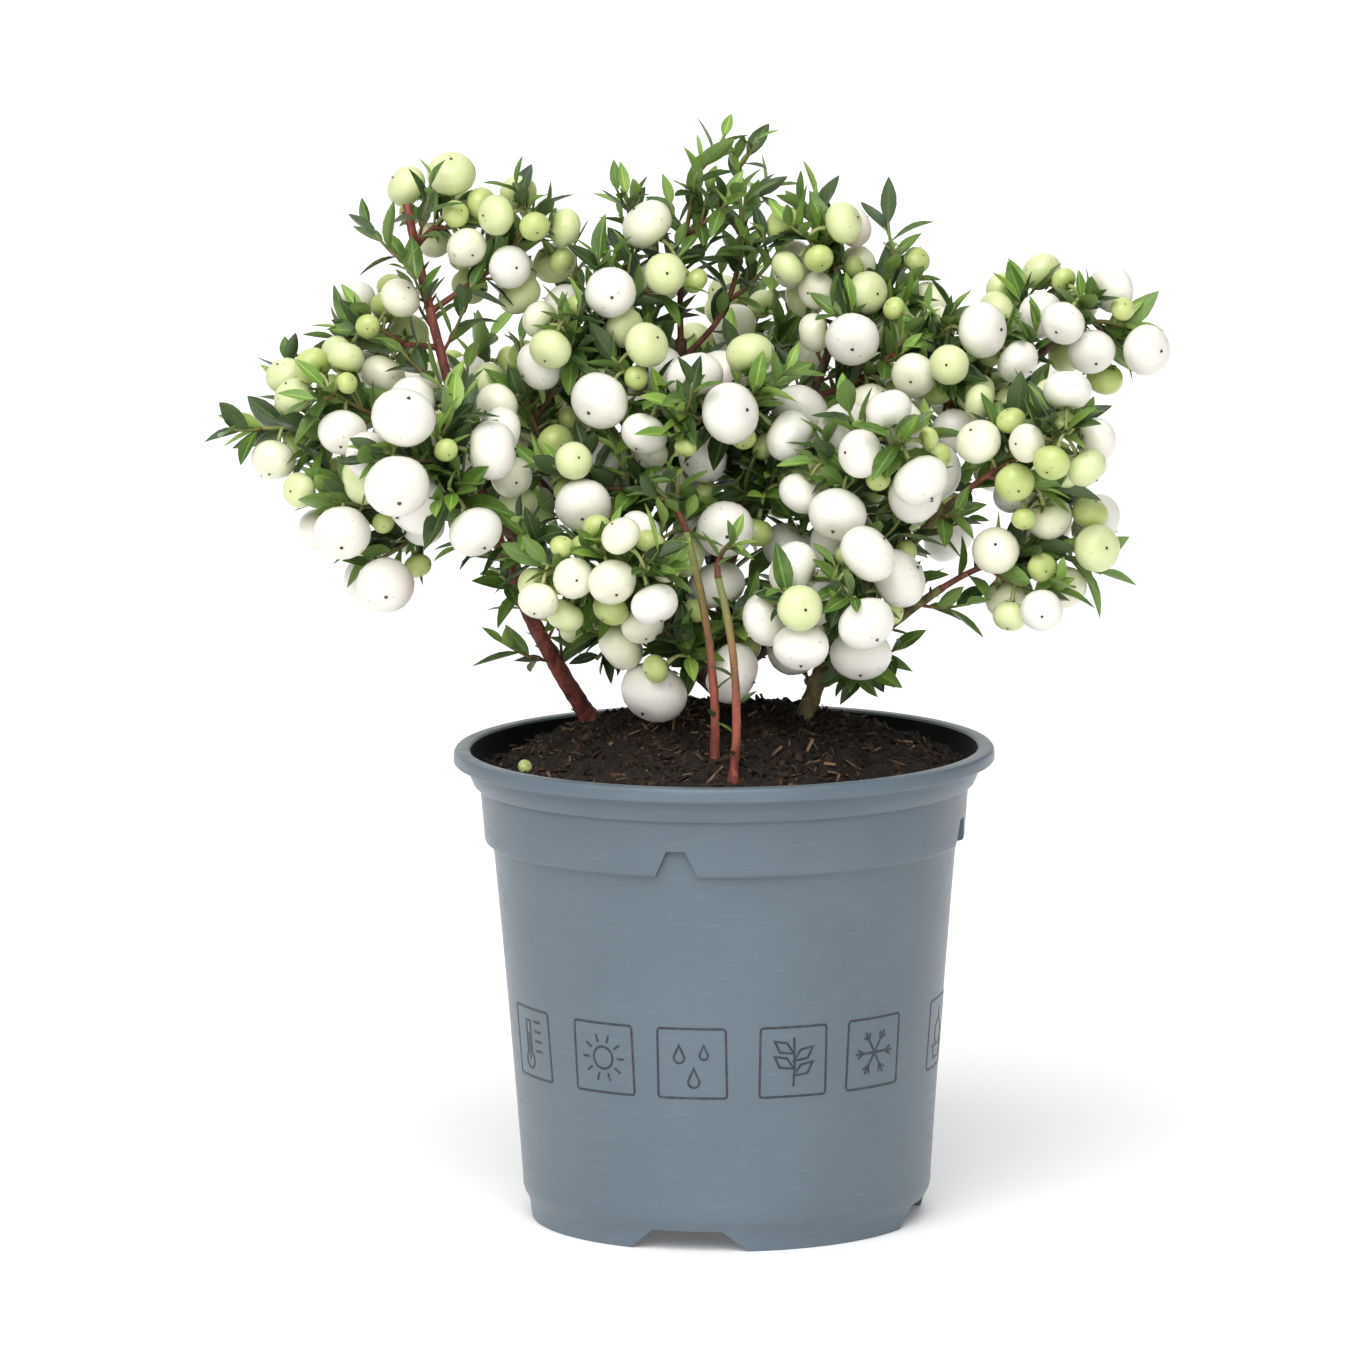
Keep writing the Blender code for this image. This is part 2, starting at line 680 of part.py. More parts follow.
def build_pot(collection, cutters, material):
    """The shell, with four arches in its foot, four notches in its ledge and its drainage holes."""
    pot = turned("pot", pot_profile(), POT_SEGMENTS, collection, material)
    for quarter in range(QUARTERS):
        angle = STACKING_ANGLE + quarter * math.tau / QUARTERS
        wedge(f"arch_{quarter}", angle, FOOT_RADIUS - 4, -1.0, FOOT_HEIGHT, 29.0, 15.6, 8, cutters)
        wedge(
            f"notch_{quarter}", angle, BODY_TOP_RADIUS + 0.5,
            LEDGE_HEIGHT - 1.5, LEDGE_HEIGHT + 5.8, 11.0, 4.2, 8, cutters,
        )
        bm = bmesh.new()
        place = Matrix.Rotation(angle, 4, "Z") @ Matrix.Translation((DRAIN_CIRCLE, 0, FLOOR_HEIGHT))
        bmesh.ops.create_cone(
            bm, cap_ends=True, segments=10, radius1=DRAIN_RADIUS, radius2=DRAIN_RADIUS,
            depth=6 * WALL, matrix=place,
        )
        new_object(f"drain_{quarter}", bm, cutters)
    cut_with(pot, cutters)
    return pot


def peat_height(x, y):
    """Height of the peat's top: heaped in the middle, low at the wall, and lumpy."""
    rim = BODY_TOP_RADIUS
    heap = max(0.0, 1.0 - (x * x + y * y) / (rim * rim))
    lumps = math.sin(x * 0.21 + 1.3) * math.cos(y * 0.17 + 0.4) + math.sin(x * 0.11 - y * 0.23)
    return PEAT_EDGE_HEIGHT + PEAT_HEAP * heap ** 0.8 + PEAT_LUMP * lumps * heap


def build_peat(collection, material):
    """The peat: it stands clear of the pot's wall and has a flat seat under every stem."""
    inner = BODY_TOP_RADIUS - WALL - 2 * GAP
    low = FLOOR_HEIGHT + WALL + GAP
    rings = [(inner - 0.2, LEDGE_HEIGHT - 4.8), (BODY_FOOT_RADIUS - WALL - 3 * GAP, low)]
    profile = [(0.0, PEAT_EDGE_HEIGHT)]
    profile += [(inner * share, PEAT_EDGE_HEIGHT) for share in (0.2, 0.42, 0.64, 0.84)]
    profile += [(inner + 0.2, PEAT_EDGE_HEIGHT)] + rings + [(0.0, low)]
    peat = turned("peat", profile, POT_SEGMENTS // 2, collection, material)
    for vert in peat.data.vertices:
        if vert.co.z > (PEAT_EDGE_HEIGHT - 1) * MM:
            vert.co.z = peat_height(vert.co.x / MM, vert.co.y / MM) * MM
    seats = bpy.data.collections.new("seats")
    bpy.context.scene.collection.children.link(seats)
    for stem in STEMS:
        flat = stem.radii[0] * FLARE + SEAT_MARGIN
        top = stem.foot[2] - GAP
        bm = bmesh.new()
        place = Matrix.Translation((stem.foot[0], stem.foot[1], top - SEAT_DEPTH / 2))
        bmesh.ops.create_cone(
            bm, cap_ends=True, segments=8, radius1=flat + SEAT_SPREAD, radius2=flat,
            depth=SEAT_DEPTH, matrix=place,
        )
        new_object("seat_" + stem.name, bm, seats)
    union = peat.modifiers.new("seats", "BOOLEAN")
    union.operation = "UNION"
    union.operand_type = "COLLECTION"
    union.collection = seats
    union.solver = "EXACT"
    graph = bpy.context.evaluated_depsgraph_get()
    peat.data = bpy.data.meshes.new_from_object(peat.evaluated_get(graph))
    peat.modifiers.clear()
    for seat in list(seats.objects):
        bpy.data.objects.remove(seat)
    bpy.data.collections.remove(seats)
    return peat


def grow_crown(room, limbs):
    """Every spray's shoots, berries and leaves. All shoots come first, then berries, then leaves."""
    crown = {spray.name: [main_shoot(spray, limbs, room)] for spray in SPRAYS}
    for spray in SPRAYS:
        crown[spray.name] += side_shoots(spray, crown[spray.name][0], room)
    berries = {spray.name: berries_on(spray, crown[spray.name], room) for spray in SPRAYS}
    leaves = {spray.name: leaves_on(spray, crown[spray.name], room) for spray in SPRAYS}
    return crown, berries, leaves


def build_spray(spray, shoots, berries, leaves, collection, material):
    shapes = [tube(shoot.points, shoot.radii, TWIG_SIDES) for shoot in shoots]
    for berry in berries:
        shapes.append(berry_shape(berry))
    shapes += [leaf_shape(leaf) for leaf in leaves]
    return fused(spray.name, shapes, collection, material)


def stand_on_origin(nodes):
    """Parents every node to an empty that puts the middle of the whole part's foot at the origin."""
    corners = [node.matrix_world @ Vector(corner) for node in nodes for corner in node.bound_box]
    low = [min(corner[axis] for corner in corners) for axis in range(3)]
    high = [max(corner[axis] for corner in corners) for axis in range(3)]
    holder = bpy.data.objects.new(OBJECT_NAME, None)
    bpy.context.scene.collection.objects.link(holder)
    holder.location = (-(low[0] + high[0]) / 2, -(low[1] + high[1]) / 2, -low[2])
    for node in nodes:
        node.parent = holder


def main():
    for obj in list(bpy.data.objects):
        bpy.data.objects.remove(obj)
    parts = bpy.data.collections.new(OBJECT_NAME)
    cutters = bpy.data.collections.new("cutters")
    bpy.context.scene.collection.children.link(parts)
    bpy.context.scene.collection.children.link(cutters)
    plastic = new_material("pot_plastic", (0.16, 0.21, 0.25), 0.42)
    peat = new_material("peat", (0.022, 0.013, 0.008), 0.95)
    bark = new_material("bark", (0.16, 0.06, 0.035), 0.7)
    foliage = new_material("foliage", (0.09, 0.17, 0.04), 0.45)

    nodes = [build_pot(parts, cutters, plastic), build_peat(parts, peat)]
    room = Room()
    limbs = grown_limbs(room)
    stems = {stem.name for stem in STEMS}
    for name, limb in limbs.items():
        shape = tube(limb.points, limb.radii, LIMB_SIDES, level_foot=name in stems)
        nodes.append(new_object(name, shape, parts, bark))
    crown, berries, leaves = grow_crown(room, limbs)
    for spray in SPRAYS:
        name = spray.name
        shoots = crown[name]
        nodes.append(build_spray(spray, shoots, berries[name], leaves[name], parts, foliage))
    bpy.context.view_layer.update()
    stand_on_origin(nodes)
    for node in nodes:
        node.data.shade_smooth()
        node.data.set_sharp_from_angle(angle=math.radians(35.0))


if __name__ == "__main__":
    main()
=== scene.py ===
import json
import math
import random
from dataclasses import dataclass

import bmesh
import bpy
import numpy as np
from mathutils import Matrix, Vector, noise

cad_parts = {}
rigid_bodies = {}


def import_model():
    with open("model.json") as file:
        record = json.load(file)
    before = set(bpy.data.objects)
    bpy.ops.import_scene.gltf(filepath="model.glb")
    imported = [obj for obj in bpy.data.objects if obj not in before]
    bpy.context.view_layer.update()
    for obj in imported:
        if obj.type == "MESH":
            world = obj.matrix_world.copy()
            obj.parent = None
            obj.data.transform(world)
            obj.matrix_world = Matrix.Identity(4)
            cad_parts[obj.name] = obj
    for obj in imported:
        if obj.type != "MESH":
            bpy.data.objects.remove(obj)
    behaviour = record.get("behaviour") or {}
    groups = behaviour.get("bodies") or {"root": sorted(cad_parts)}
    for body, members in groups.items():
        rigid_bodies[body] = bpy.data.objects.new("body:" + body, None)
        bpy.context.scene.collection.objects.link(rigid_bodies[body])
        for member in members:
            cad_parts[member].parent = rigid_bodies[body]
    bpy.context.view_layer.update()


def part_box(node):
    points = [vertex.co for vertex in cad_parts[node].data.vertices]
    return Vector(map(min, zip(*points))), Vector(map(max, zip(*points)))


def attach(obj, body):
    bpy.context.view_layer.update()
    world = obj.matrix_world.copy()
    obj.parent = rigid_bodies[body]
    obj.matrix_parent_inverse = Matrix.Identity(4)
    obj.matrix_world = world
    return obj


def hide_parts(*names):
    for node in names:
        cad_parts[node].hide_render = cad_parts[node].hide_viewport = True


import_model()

# Where the object stands. All sizes below are in millimetres from the pot's axis at ground
# level, with +X to the right, +Y to the back and +Z up.
MM = 0.001
pot_low, pot_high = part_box("pot")
POT_AXIS = Vector(((pot_low.x + pot_high.x) / 2, (pot_low.y + pot_high.y) / 2, 0.0))


# The nursery pot.
# A round tapered nursery pot of blue-grey recycled polypropylene, injection moulded in one
# piece: a rolled lip, a collar, a stacking band over a ledge, and a foot ring with low arches.
POT_STEPS = 192
POT_HEIGHT = 105.6
LIP_RADIUS = 60.0
MOUTH_RADIUS = 56.1
BAND_FOOT_HEIGHT = 84.8
BAND_RADIUS = 53.3
BODY_TOP_RADIUS = 51.0
BODY_FOOT_RADIUS = 45.5
FOOT_RADIUS = 43.6
FOOT_HEIGHT = 4.6
WALL = 1.2
POT_FLOOR_HEIGHT = 5.0
STACKING_ANGLE = math.radians(-101.5)
POT_COLOUR = (0.124, 0.163, 0.197)
POT_DUST_COLOUR = (0.20, 0.245, 0.28)
POT_DARK_COLOUR = (0.086, 0.117, 0.144)
# Painted shade: the inside wall is the same blue-grey plastic, coloured near-black for the shade inside the
# pot.
POT_INSIDE_SHADE_COLOUR = (0.0022, 0.003, 0.002)


class Nodes:
    """Adds and joins the nodes of one material, group or geometry tree."""

    def __init__(self, tree):
        self.tree = tree

    def add(self, kind, inputs=None, **settings):
        node = self.tree.nodes.new(kind)
        for key, value in settings.items():
            setattr(node, key, value)
        for key, value in (inputs or {}).items():
            if isinstance(value, bpy.types.NodeSocket):
                self.tree.links.new(value, node.inputs[key])
            else:
                node.inputs[key].default_value = value
        return node

    def mixed(self, share, first, second):
        """A colour between two, by a share."""
        mix = self.add("ShaderNodeMix", data_type="RGBA")
        for index, value in ((0, share), (6, first), (7, second)):
            if isinstance(value, bpy.types.NodeSocket):
                self.tree.links.new(value, mix.inputs[index])
            elif index:
                mix.inputs[index].default_value = (*value, 1.0)
            else:
                mix.inputs[index].default_value = value
        return mix.outputs[2]


def patches_group():
    """A mask of soft patches, stretched along the axes, from low to high of a noise."""
    group = bpy.data.node_groups.new("soft_patches", "ShaderNodeTree")
    for name, kind, value in (
        ("Scale", "NodeSocketFloat", 100.0),
        ("Stretch", "NodeSocketVector", (1.0, 1.0, 1.0)),
        ("Low", "NodeSocketFloat", 0.4),
        ("High", "NodeSocketFloat", 0.6),
        ("Detail", "NodeSocketFloat", 4.0),
    ):
        socket = group.interface.new_socket(name, in_out="INPUT", socket_type=kind)
        socket.default_value = value
    group.interface.new_socket("Mask", in_out="OUTPUT", socket_type="NodeSocketFloat")
    nodes = Nodes(group)
    inlet = nodes.add("NodeGroupInput")
    place = nodes.add("ShaderNodeTexCoord").outputs["Object"]
    stretched = nodes.add("ShaderNodeVectorMath", operation="MULTIPLY")
    group.links.new(place, stretched.inputs[0])
    group.links.new(inlet.outputs["Stretch"], stretched.inputs[1])
    grain = nodes.add(
        "ShaderNodeTexNoise",
        {"Vector": stretched.outputs[0], "Scale": inlet.outputs["Scale"], "Detail": inlet.outputs["Detail"]},
    )
    spread = nodes.add(
        "ShaderNodeMapRange",
        {"Value": grain.outputs["Fac"], "From Min": inlet.outputs["Low"], "From Max": inlet.outputs["High"]},
        interpolation_type="SMOOTHSTEP",
    )
    nodes.add("NodeGroupOutput", {"Mask": spread.outputs["Result"]})
    return group


SOFT_PATCHES = patches_group()


def patches(nodes, scale, low, high, stretch=(1.0, 1.0, 1.0), detail=4.0):
    group = nodes.add("ShaderNodeGroup", node_tree=SOFT_PATCHES)
    group.inputs["Scale"].default_value = scale
    group.inputs["Low"].default_value = low
    group.inputs["High"].default_value = high
    group.inputs["Stretch"].default_value = stretch
    group.inputs["Detail"].default_value = detail
    return group.outputs["Mask"]


def blank_material(name):
    """A material with its node helper and its Principled shader."""
    material = bpy.data.materials.new(name)
    material.use_nodes = True
    return material, Nodes(material.node_tree), material.node_tree.nodes["Principled BSDF"]


def relief(nodes, shader, height, strength, distance):
    bump = nodes.add("ShaderNodeBump", {"Height": height, "Strength": strength, "Distance": distance})
    nodes.tree.links.new(bump.outputs["Normal"], shader.inputs["Normal"])


def new_piece(name, mesh, materials, slot, *replaced):
    """A finished piece at the origin, which rides on the one body."""
    for material in materials:
        mesh.materials.append(material)
    piece = bpy.data.objects.new(name, mesh)
    bpy.context.scene.collection.objects.link(piece)
    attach(piece, "root")
    if replaced:
        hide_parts(*replaced)


def pot_profile():
    """Radius and height along the wall, from the middle of the floor up the inside and down to the foot."""
    inside = [
        (0.0, POT_FLOOR_HEIGHT + WALL),
        (BODY_FOOT_RADIUS - WALL, POT_FLOOR_HEIGHT + WALL),
        (BODY_TOP_RADIUS - WALL, BAND_FOOT_HEIGHT - 4.8),
        (BODY_TOP_RADIUS - 0.3, POT_HEIGHT - 11.6),
        (BODY_TOP_RADIUS + 1.3, POT_HEIGHT - 7.6),
        (MOUTH_RADIUS - 1.2, POT_HEIGHT - 4.6),
        (MOUTH_RADIUS - 0.2, POT_HEIGHT - 1.6),
    ]
    lip = [
        (MOUTH_RADIUS + 0.2, POT_HEIGHT - 0.6),
        (MOUTH_RADIUS + 0.7, POT_HEIGHT - 0.15),
        (MOUTH_RADIUS + 1.4, POT_HEIGHT),
        (LIP_RADIUS - 1.3, POT_HEIGHT),
        (LIP_RADIUS - 0.6, POT_HEIGHT - 0.25),
        (LIP_RADIUS - 0.15, POT_HEIGHT - 0.8),
        (LIP_RADIUS, POT_HEIGHT - 1.5),
        (LIP_RADIUS, POT_HEIGHT - 2.9),
        (LIP_RADIUS - 0.2, POT_HEIGHT - 3.15),
        (LIP_RADIUS - 0.5, POT_HEIGHT - 3.2),
        (LIP_RADIUS - 2.7, POT_HEIGHT - 3.4),
    ]
    collar = [
        (MOUTH_RADIUS + 0.9, POT_HEIGHT - 3.9),
        (MOUTH_RADIUS + 0.75, POT_HEIGHT - 5.0),
        (MOUTH_RADIUS - 0.5, POT_HEIGHT - 7.9),
        (MOUTH_RADIUS - 0.8, POT_HEIGHT - 8.2),
        (BAND_RADIUS + 0.95, POT_HEIGHT - 8.35),
        (BAND_RADIUS + 0.8, POT_HEIGHT - 9.6),
        (BAND_RADIUS + 0.1, BAND_FOOT_HEIGHT + 2.6),
        (BAND_RADIUS, BAND_FOOT_HEIGHT + 0.9),
        (BAND_RADIUS - 0.15, BAND_FOOT_HEIGHT + 0.3),
        (BAND_RADIUS - 0.45, BAND_FOOT_HEIGHT),
        (BODY_TOP_RADIUS + 0.75, BAND_FOOT_HEIGHT - 0.25),
        (BODY_TOP_RADIUS + 0.5, BAND_FOOT_HEIGHT - 0.9),
        (BODY_TOP_RADIUS + 0.2, BAND_FOOT_HEIGHT - 2.8),
    ]
    body = []
    top, foot = BAND_FOOT_HEIGHT - 4.8, FOOT_HEIGHT + 5.0
    for step in range(9):
        down = step / 8
        hollow = 0.75 * down * (1 - down)
        radius = BODY_TOP_RADIUS + (BODY_FOOT_RADIUS - BODY_TOP_RADIUS) * down - hollow
        body.append((radius, top + (foot - top) * down))
    foot = [
        (BODY_FOOT_RADIUS - 0.05, FOOT_HEIGHT + 3.0),
        (BODY_FOOT_RADIUS - 0.4, FOOT_HEIGHT + 1.6),
        (FOOT_RADIUS + 0.75, FOOT_HEIGHT + 0.3),
        (FOOT_RADIUS + 0.3, FOOT_HEIGHT - 1.2),
        (FOOT_RADIUS + 0.05, 1.0),
        (FOOT_RADIUS, 0.25),
        (FOOT_RADIUS - 0.2, 0.0),
        (FOOT_RADIUS - WALL - 0.2, 0.0),
        (FOOT_RADIUS - WALL - 0.1, POT_FLOOR_HEIGHT),
        (0.0, POT_FLOOR_HEIGHT),
    ]
    return inside + lip + collar + body + foot


def turned_pot():
    """The shell turned from its profile, with the notches, arches and drainage holes cut."""
    line = bpy.data.meshes.new("pot_line")
    points = [(radius * MM, 0.0, height * MM) for radius, height in pot_profile()]
    line.from_pydata(points, [(i, i + 1) for i in range(len(points) - 1)], [])
    shell = bpy.data.objects.new("pot_shell", line)
    bpy.context.scene.collection.objects.link(shell)
    screw = shell.modifiers.new("turn", "SCREW")
    screw.axis = "Z"
    screw.steps = POT_STEPS
    screw.render_steps = POT_STEPS
    screw.use_merge_vertices = True
    screw.merge_threshold = 0.02 * MM
    cutters = bpy.data.collections.new("pot_cutters")
    bpy.context.scene.collection.children.link(cutters)
    for quarter in range(4):
        angle = Matrix.Rotation(STACKING_ANGLE + quarter * math.tau / 4, 4, "Z")
        for radius, low, high, wide, narrow in (
            (FOOT_RADIUS - 4, -1.0, FOOT_HEIGHT, 29.0, 15.6),
            (BODY_TOP_RADIUS + 0.7, BAND_FOOT_HEIGHT - 1.2, BAND_FOOT_HEIGHT + 5.8, 10.6, 4.2),
        ):
            bm = bmesh.new()
            bmesh.ops.create_cube(bm, size=1.0)
            for vert in bm.verts:
                width = narrow if vert.co.z > 0 else wide
                height = high if vert.co.z > 0 else low
                vert.co = Vector(((vert.co.x + 0.5) * 8 + radius, vert.co.y * width, height)) * MM
            bmesh.ops.transform(bm, matrix=angle, verts=bm.verts)
            mesh = bpy.data.meshes.new("pot_cutter")
            bm.to_mesh(mesh)
            bm.free()
            cutters.objects.link(bpy.data.objects.new("pot_cutter", mesh))
        bm = bmesh.new()
        place = angle @ Matrix.Translation((30 * MM, 0, POT_FLOOR_HEIGHT * MM))
        bmesh.ops.create_cone(
            bm, cap_ends=True, segments=32, radius1=4 * MM, radius2=4 * MM, depth=7 * MM, matrix=place
        )
        mesh = bpy.data.meshes.new("pot_cutter")
        bm.to_mesh(mesh)
        bm.free()
        cutters.objects.link(bpy.data.objects.new("pot_cutter", mesh))
    bpy.context.view_layer.update()
    graph = bpy.context.evaluated_depsgraph_get()
    turned = bpy.data.meshes.new_from_object(shell.evaluated_get(graph))
    shell.modifiers.clear()
    bm = bmesh.new()
    bm.from_mesh(turned)
    bmesh.ops.recalc_face_normals(bm, faces=bm.faces)
    bm.to_mesh(turned)
    bm.free()
    shell.data = turned
    cut = shell.modifiers.new("cut", "BOOLEAN")
    cut.operation = "DIFFERENCE"
    cut.operand_type = "COLLECTION"
    cut.collection = cutters
    cut.solver = "EXACT"
    graph = bpy.context.evaluated_depsgraph_get()
    mesh = bpy.data.meshes.new_from_object(shell.evaluated_get(graph))
    for cutter in list(cutters.objects):
        bpy.data.objects.remove(cutter)
    bpy.data.collections.remove(cutters)
    bpy.data.objects.remove(shell)
    # Faces that look inward above the floor get the near-black painted shade of the inside wall.
    for polygon in mesh.polygons:
        outward = polygon.normal.xy.dot(polygon.center.xy.normalized())
        inner = polygon.center.xy.length < (MOUTH_RADIUS + 0.3) * MM and outward < -0.4
        polygon.material_index = int(inner and polygon.center.z > POT_FLOOR_HEIGHT * MM)
    mesh.transform(Matrix.Translation(POT_AXIS))
    mesh.shade_smooth()
    mesh.set_sharp_from_angle(angle=math.radians(27.0))
    mesh.name = "pot_shell"
    return mesh


def pot_plastic_material():
    """Moulded blue-grey plastic: faint clouds, dusty level scuffs, a soft sheen."""
    material, nodes, shader = blank_material("pot_plastic")
    clouds = patches(nodes, 32.0, 0.3, 0.75, detail=3.0)
    scuffs = patches(nodes, 420.0, 0.5, 0.8, (0.3, 0.3, 2.4), 6.0)
    specks = patches(nodes, 900.0, 0.68, 0.74, detail=2.0)
    base = nodes.mixed(clouds, POT_DARK_COLOUR, POT_COLOUR)
    base = nodes.mixed(0.72, base, POT_COLOUR)
    share = nodes.add("ShaderNodeMath", {0: scuffs, 1: 0.22}, operation="MULTIPLY").outputs[0]
    base = nodes.mixed(share, base, POT_DUST_COLOUR)
    share = nodes.add("ShaderNodeMath", {0: specks, 1: 0.3}, operation="MULTIPLY").outputs[0]
    base = nodes.mixed(share, base, POT_DUST_COLOUR)
    nodes.tree.links.new(base, shader.inputs["Base Color"])
    rough = nodes.add("ShaderNodeMapRange", {"Value": scuffs, "To Min": 0.34, "To Max": 0.48})
    nodes.tree.links.new(rough.outputs["Result"], shader.inputs["Roughness"])
    shader.inputs["Specular IOR Level"].default_value = 0.36
    grain = patches(nodes, 520.0, 0.2, 0.8, (1.0, 1.0, 1.6), 6.0)
    relief(nodes, shader, grain, 0.12, 0.0002)
    return material


# The inside wall: the pot's plastic painted near-black as painted shade, in faint patches that also give its
# bumps.
def pot_inside_shade_material():
    material, nodes, shader = blank_material("pot_inside")
    shade_and_bump_patches = patches(nodes, 90.0, 0.35, 0.7)
    base = nodes.mixed(shade_and_bump_patches, POT_INSIDE_SHADE_COLOUR, (0.006, 0.009, 0.008))
    nodes.tree.links.new(base, shader.inputs["Base Color"])
    shader.inputs["Roughness"].default_value = 0.75
    shader.inputs["Specular IOR Level"].default_value = 0.15
    relief(nodes, shader, shade_and_bump_patches, 0.2, 0.0004)
    return material


new_piece("pot_shell", turned_pot(), [pot_plastic_material(), pot_inside_shade_material()], "pot_plastic", "pot")


# The care pictograms.
# A row of small framed squares with care signs, printed thinly on the wall a third of the way
# up: thin dark lines, which follow the pot's curve and stand a hair proud of it.
SIGN_FOOT = 35.0
SIGN_WIDTH = 15.2
SIGN_HEIGHT = 15.6
SIGN_LINE = 0.5
SIGN_LIFT = 0.07
SIGN_ANGLES = (-63.0, -34.2, -9.0, 18.0, 42.8, 78.5, 106.0)
SIGN_COLOUR = (0.018, 0.026, 0.04)


def wall_radius(height):
    """The radius of the pot's body at a height, from its profile."""
    profile = [point for point in pot_profile() if point[0] > BODY_FOOT_RADIUS - 0.6][-14:]
    heights = [point[1] for point in profile][::-1]
    radii = [point[0] for point in profile][::-1]
    return float(np.interp(height, heights, radii))


def arc(x, y, radius, start=0.0, end=360.0, steps=20):
    angles = [math.radians(start + (end - start) * k / steps) for k in range(steps + 1)]
    return [(x + radius * math.cos(a), y + radius * math.sin(a)) for a in angles]


def drop(x, y, size):
    """A water drop: a round foot that runs up to a point."""
    return [(x, y + size * 1.5)] + arc(x, y, size * 0.62, 30, -210, 14) + [(x, y + size * 1.5)]


def sign_strokes(kind):
    """The lines of one care sign, in millimetres from the middle of its square."""
    half_w, half_h, corner = SIGN_WIDTH / 2, SIGN_HEIGHT / 2, 0.7
    frame_line = []
    for sign_x, sign_y, start in ((1, 1, 0), (-1, 1, 90), (-1, -1, 180), (1, -1, 270)):
        frame_line += arc(
            sign_x * (half_w - corner), sign_y * (half_h - corner), corner, start, start + 90, 5
        )
    strokes = [frame_line + frame_line[:1]]
    if kind == "sun":
        strokes.append(arc(0, 0, 2.5))
        for ray in range(10):
            a = math.tau * ray / 10
            strokes.append([(3.6 * math.cos(a), 3.6 * math.sin(a)), (5.4 * math.cos(a), 5.4 * math.sin(a))])
    elif kind == "water":
        strokes += [drop(-2.8, 1.2, 1.9), drop(2.7, 1.8, 1.5), drop(0.4, -4.2, 2.0)]
    elif kind == "cold":
        for ray in range(6):
            a = math.tau * ray / 6
            x, y = math.cos(a), math.sin(a)
            strokes.append([(0, 0), (5.4 * x, 5.4 * y)])
            for turn in (-0.6, 0.6):
                tip = (3.3 * x + 1.7 * math.cos(a + turn), 3.3 * y + 1.7 * math.sin(a + turn))
                strokes.append([(3.3 * x, 3.3 * y), tip])
    elif kind == "warmth":
        strokes.append(arc(-1.4, -4.0, 1.9, 58, -238, 16) + [(-2.4, 4.9), (-0.4, 4.9), (-0.4, -2.4)])
        strokes.append([(-1.4, -4.0), (-1.4, 2.2)])
        strokes += [[(1.4, y), (4.2, y)] for y in (-1.6, 0.6, 2.8, 5.0)]
    elif kind == "sprig":
        strokes.append([(0.0, -5.6), (0.2, -1.0), (0.0, 5.4)])
        for side, y in ((1, -3.2), (-1, -1.6), (1, 0.2), (-1, 1.8)):
            tip = (side * 4.4, y + 2.9)
            strokes.append([(0, y), (side * 1.6, y + 2.4), tip, (side * 3.2, y + 0.4), (0, y)])
    else:
        strokes.append([(-4.8, -3.0), (4.8, -3.0)])
        strokes.append([(-3.6, -3.0), (-2.8, -5.8), (2.8, -5.8), (3.6, -3.0)])
        strokes.append(arc(0, -0.2, 2.8, -90, 90, 10)[::-1])
        strokes.append(arc(0, -0.2, 2.8, 90, 270, 10)[::-1])
        strokes.append([(0, 2.6), (0, 5.4)])
    return strokes


def ribbon(points, width):
    """A flat ribbon of quads along a line in the sign's own plane, mitred at its bends."""
    line = [Vector(point) for point in points]
    closed = (line[0] - line[-1]).length < 1e-6
    edges = []
    for index, point in enumerate(line):
        behind = line[index - 1] if index else (line[-2] if closed else point)
        ahead = line[index + 1] if index + 1 < len(line) else (line[1] if closed else point)
        first = (point - behind).normalized() if (point - behind).length > 1e-6 else None
        second = (ahead - point).normalized() if (ahead - point).length > 1e-6 else None
        first, second = first or second, second or first
        middle = (first + second).normalized() if (first + second).length > 0.2 else first
        across_line = Vector((-middle.y, middle.x))
        reach = width / 2 / max(0.5, middle.dot(first))
        edges.append((point + across_line * reach, point - across_line * reach))
    return edges


def sign_mesh():
    """Every sign's ribbons, laid on the curved wall, each with a short skirt down to it."""
    vertices, faces = [], []

    def on_wall(point, azimuth, lift):
        height = SIGN_FOOT + SIGN_HEIGHT / 2 + point[1]
        radius = wall_radius(height)
        angle = math.radians(azimuth - 90) + point[0] / radius
        radius += lift
        return (
            POT_AXIS.x + radius * math.cos(angle) * MM,
            POT_AXIS.y + radius * math.sin(angle) * MM,
            height * MM,
        )

    kinds = ("warmth", "sun", "water", "sprig", "cold", "pot", "sun")
    for azimuth, kind in zip(SIGN_ANGLES, kinds):
        for stroke in sign_strokes(kind):
            dense = []
            for start, end in zip(stroke, stroke[1:]):
                parts = max(1, int(math.dist(start, end) / 1.2))
                dense += [
                    (start[0] + (end[0] - start[0]) * k / parts, start[1] + (end[1] - start[1]) * k / parts)
                    for k in range(parts)
                ]
            dense.append(stroke[-1])
            first = len(vertices)
            edges = ribbon(dense, SIGN_LINE)
            for left, right in edges:
                vertices += [
                    on_wall(left, azimuth, -0.05), on_wall(left, azimuth, SIGN_LIFT),
                    on_wall(right, azimuth, SIGN_LIFT), on_wall(right, azimuth, -0.05),
                ]
            for index in range(len(edges) - 1):
                a, b = first + index * 4, first + index * 4 + 4
                faces += [(a + k, b + k, b + k + 1, a + k + 1) for k in range(3)]
    mesh = bpy.data.meshes.new("care_signs")
    mesh.from_pydata(vertices, [], faces)
    bm = bmesh.new()
    bm.from_mesh(mesh)
    for face in bm.faces:
        out = face.calc_center_median() - POT_AXIS
        out.z = 0
        if face.normal.dot(out) < 0:
            face.normal_flip()
    bm.to_mesh(mesh)
    bm.free()
    return mesh


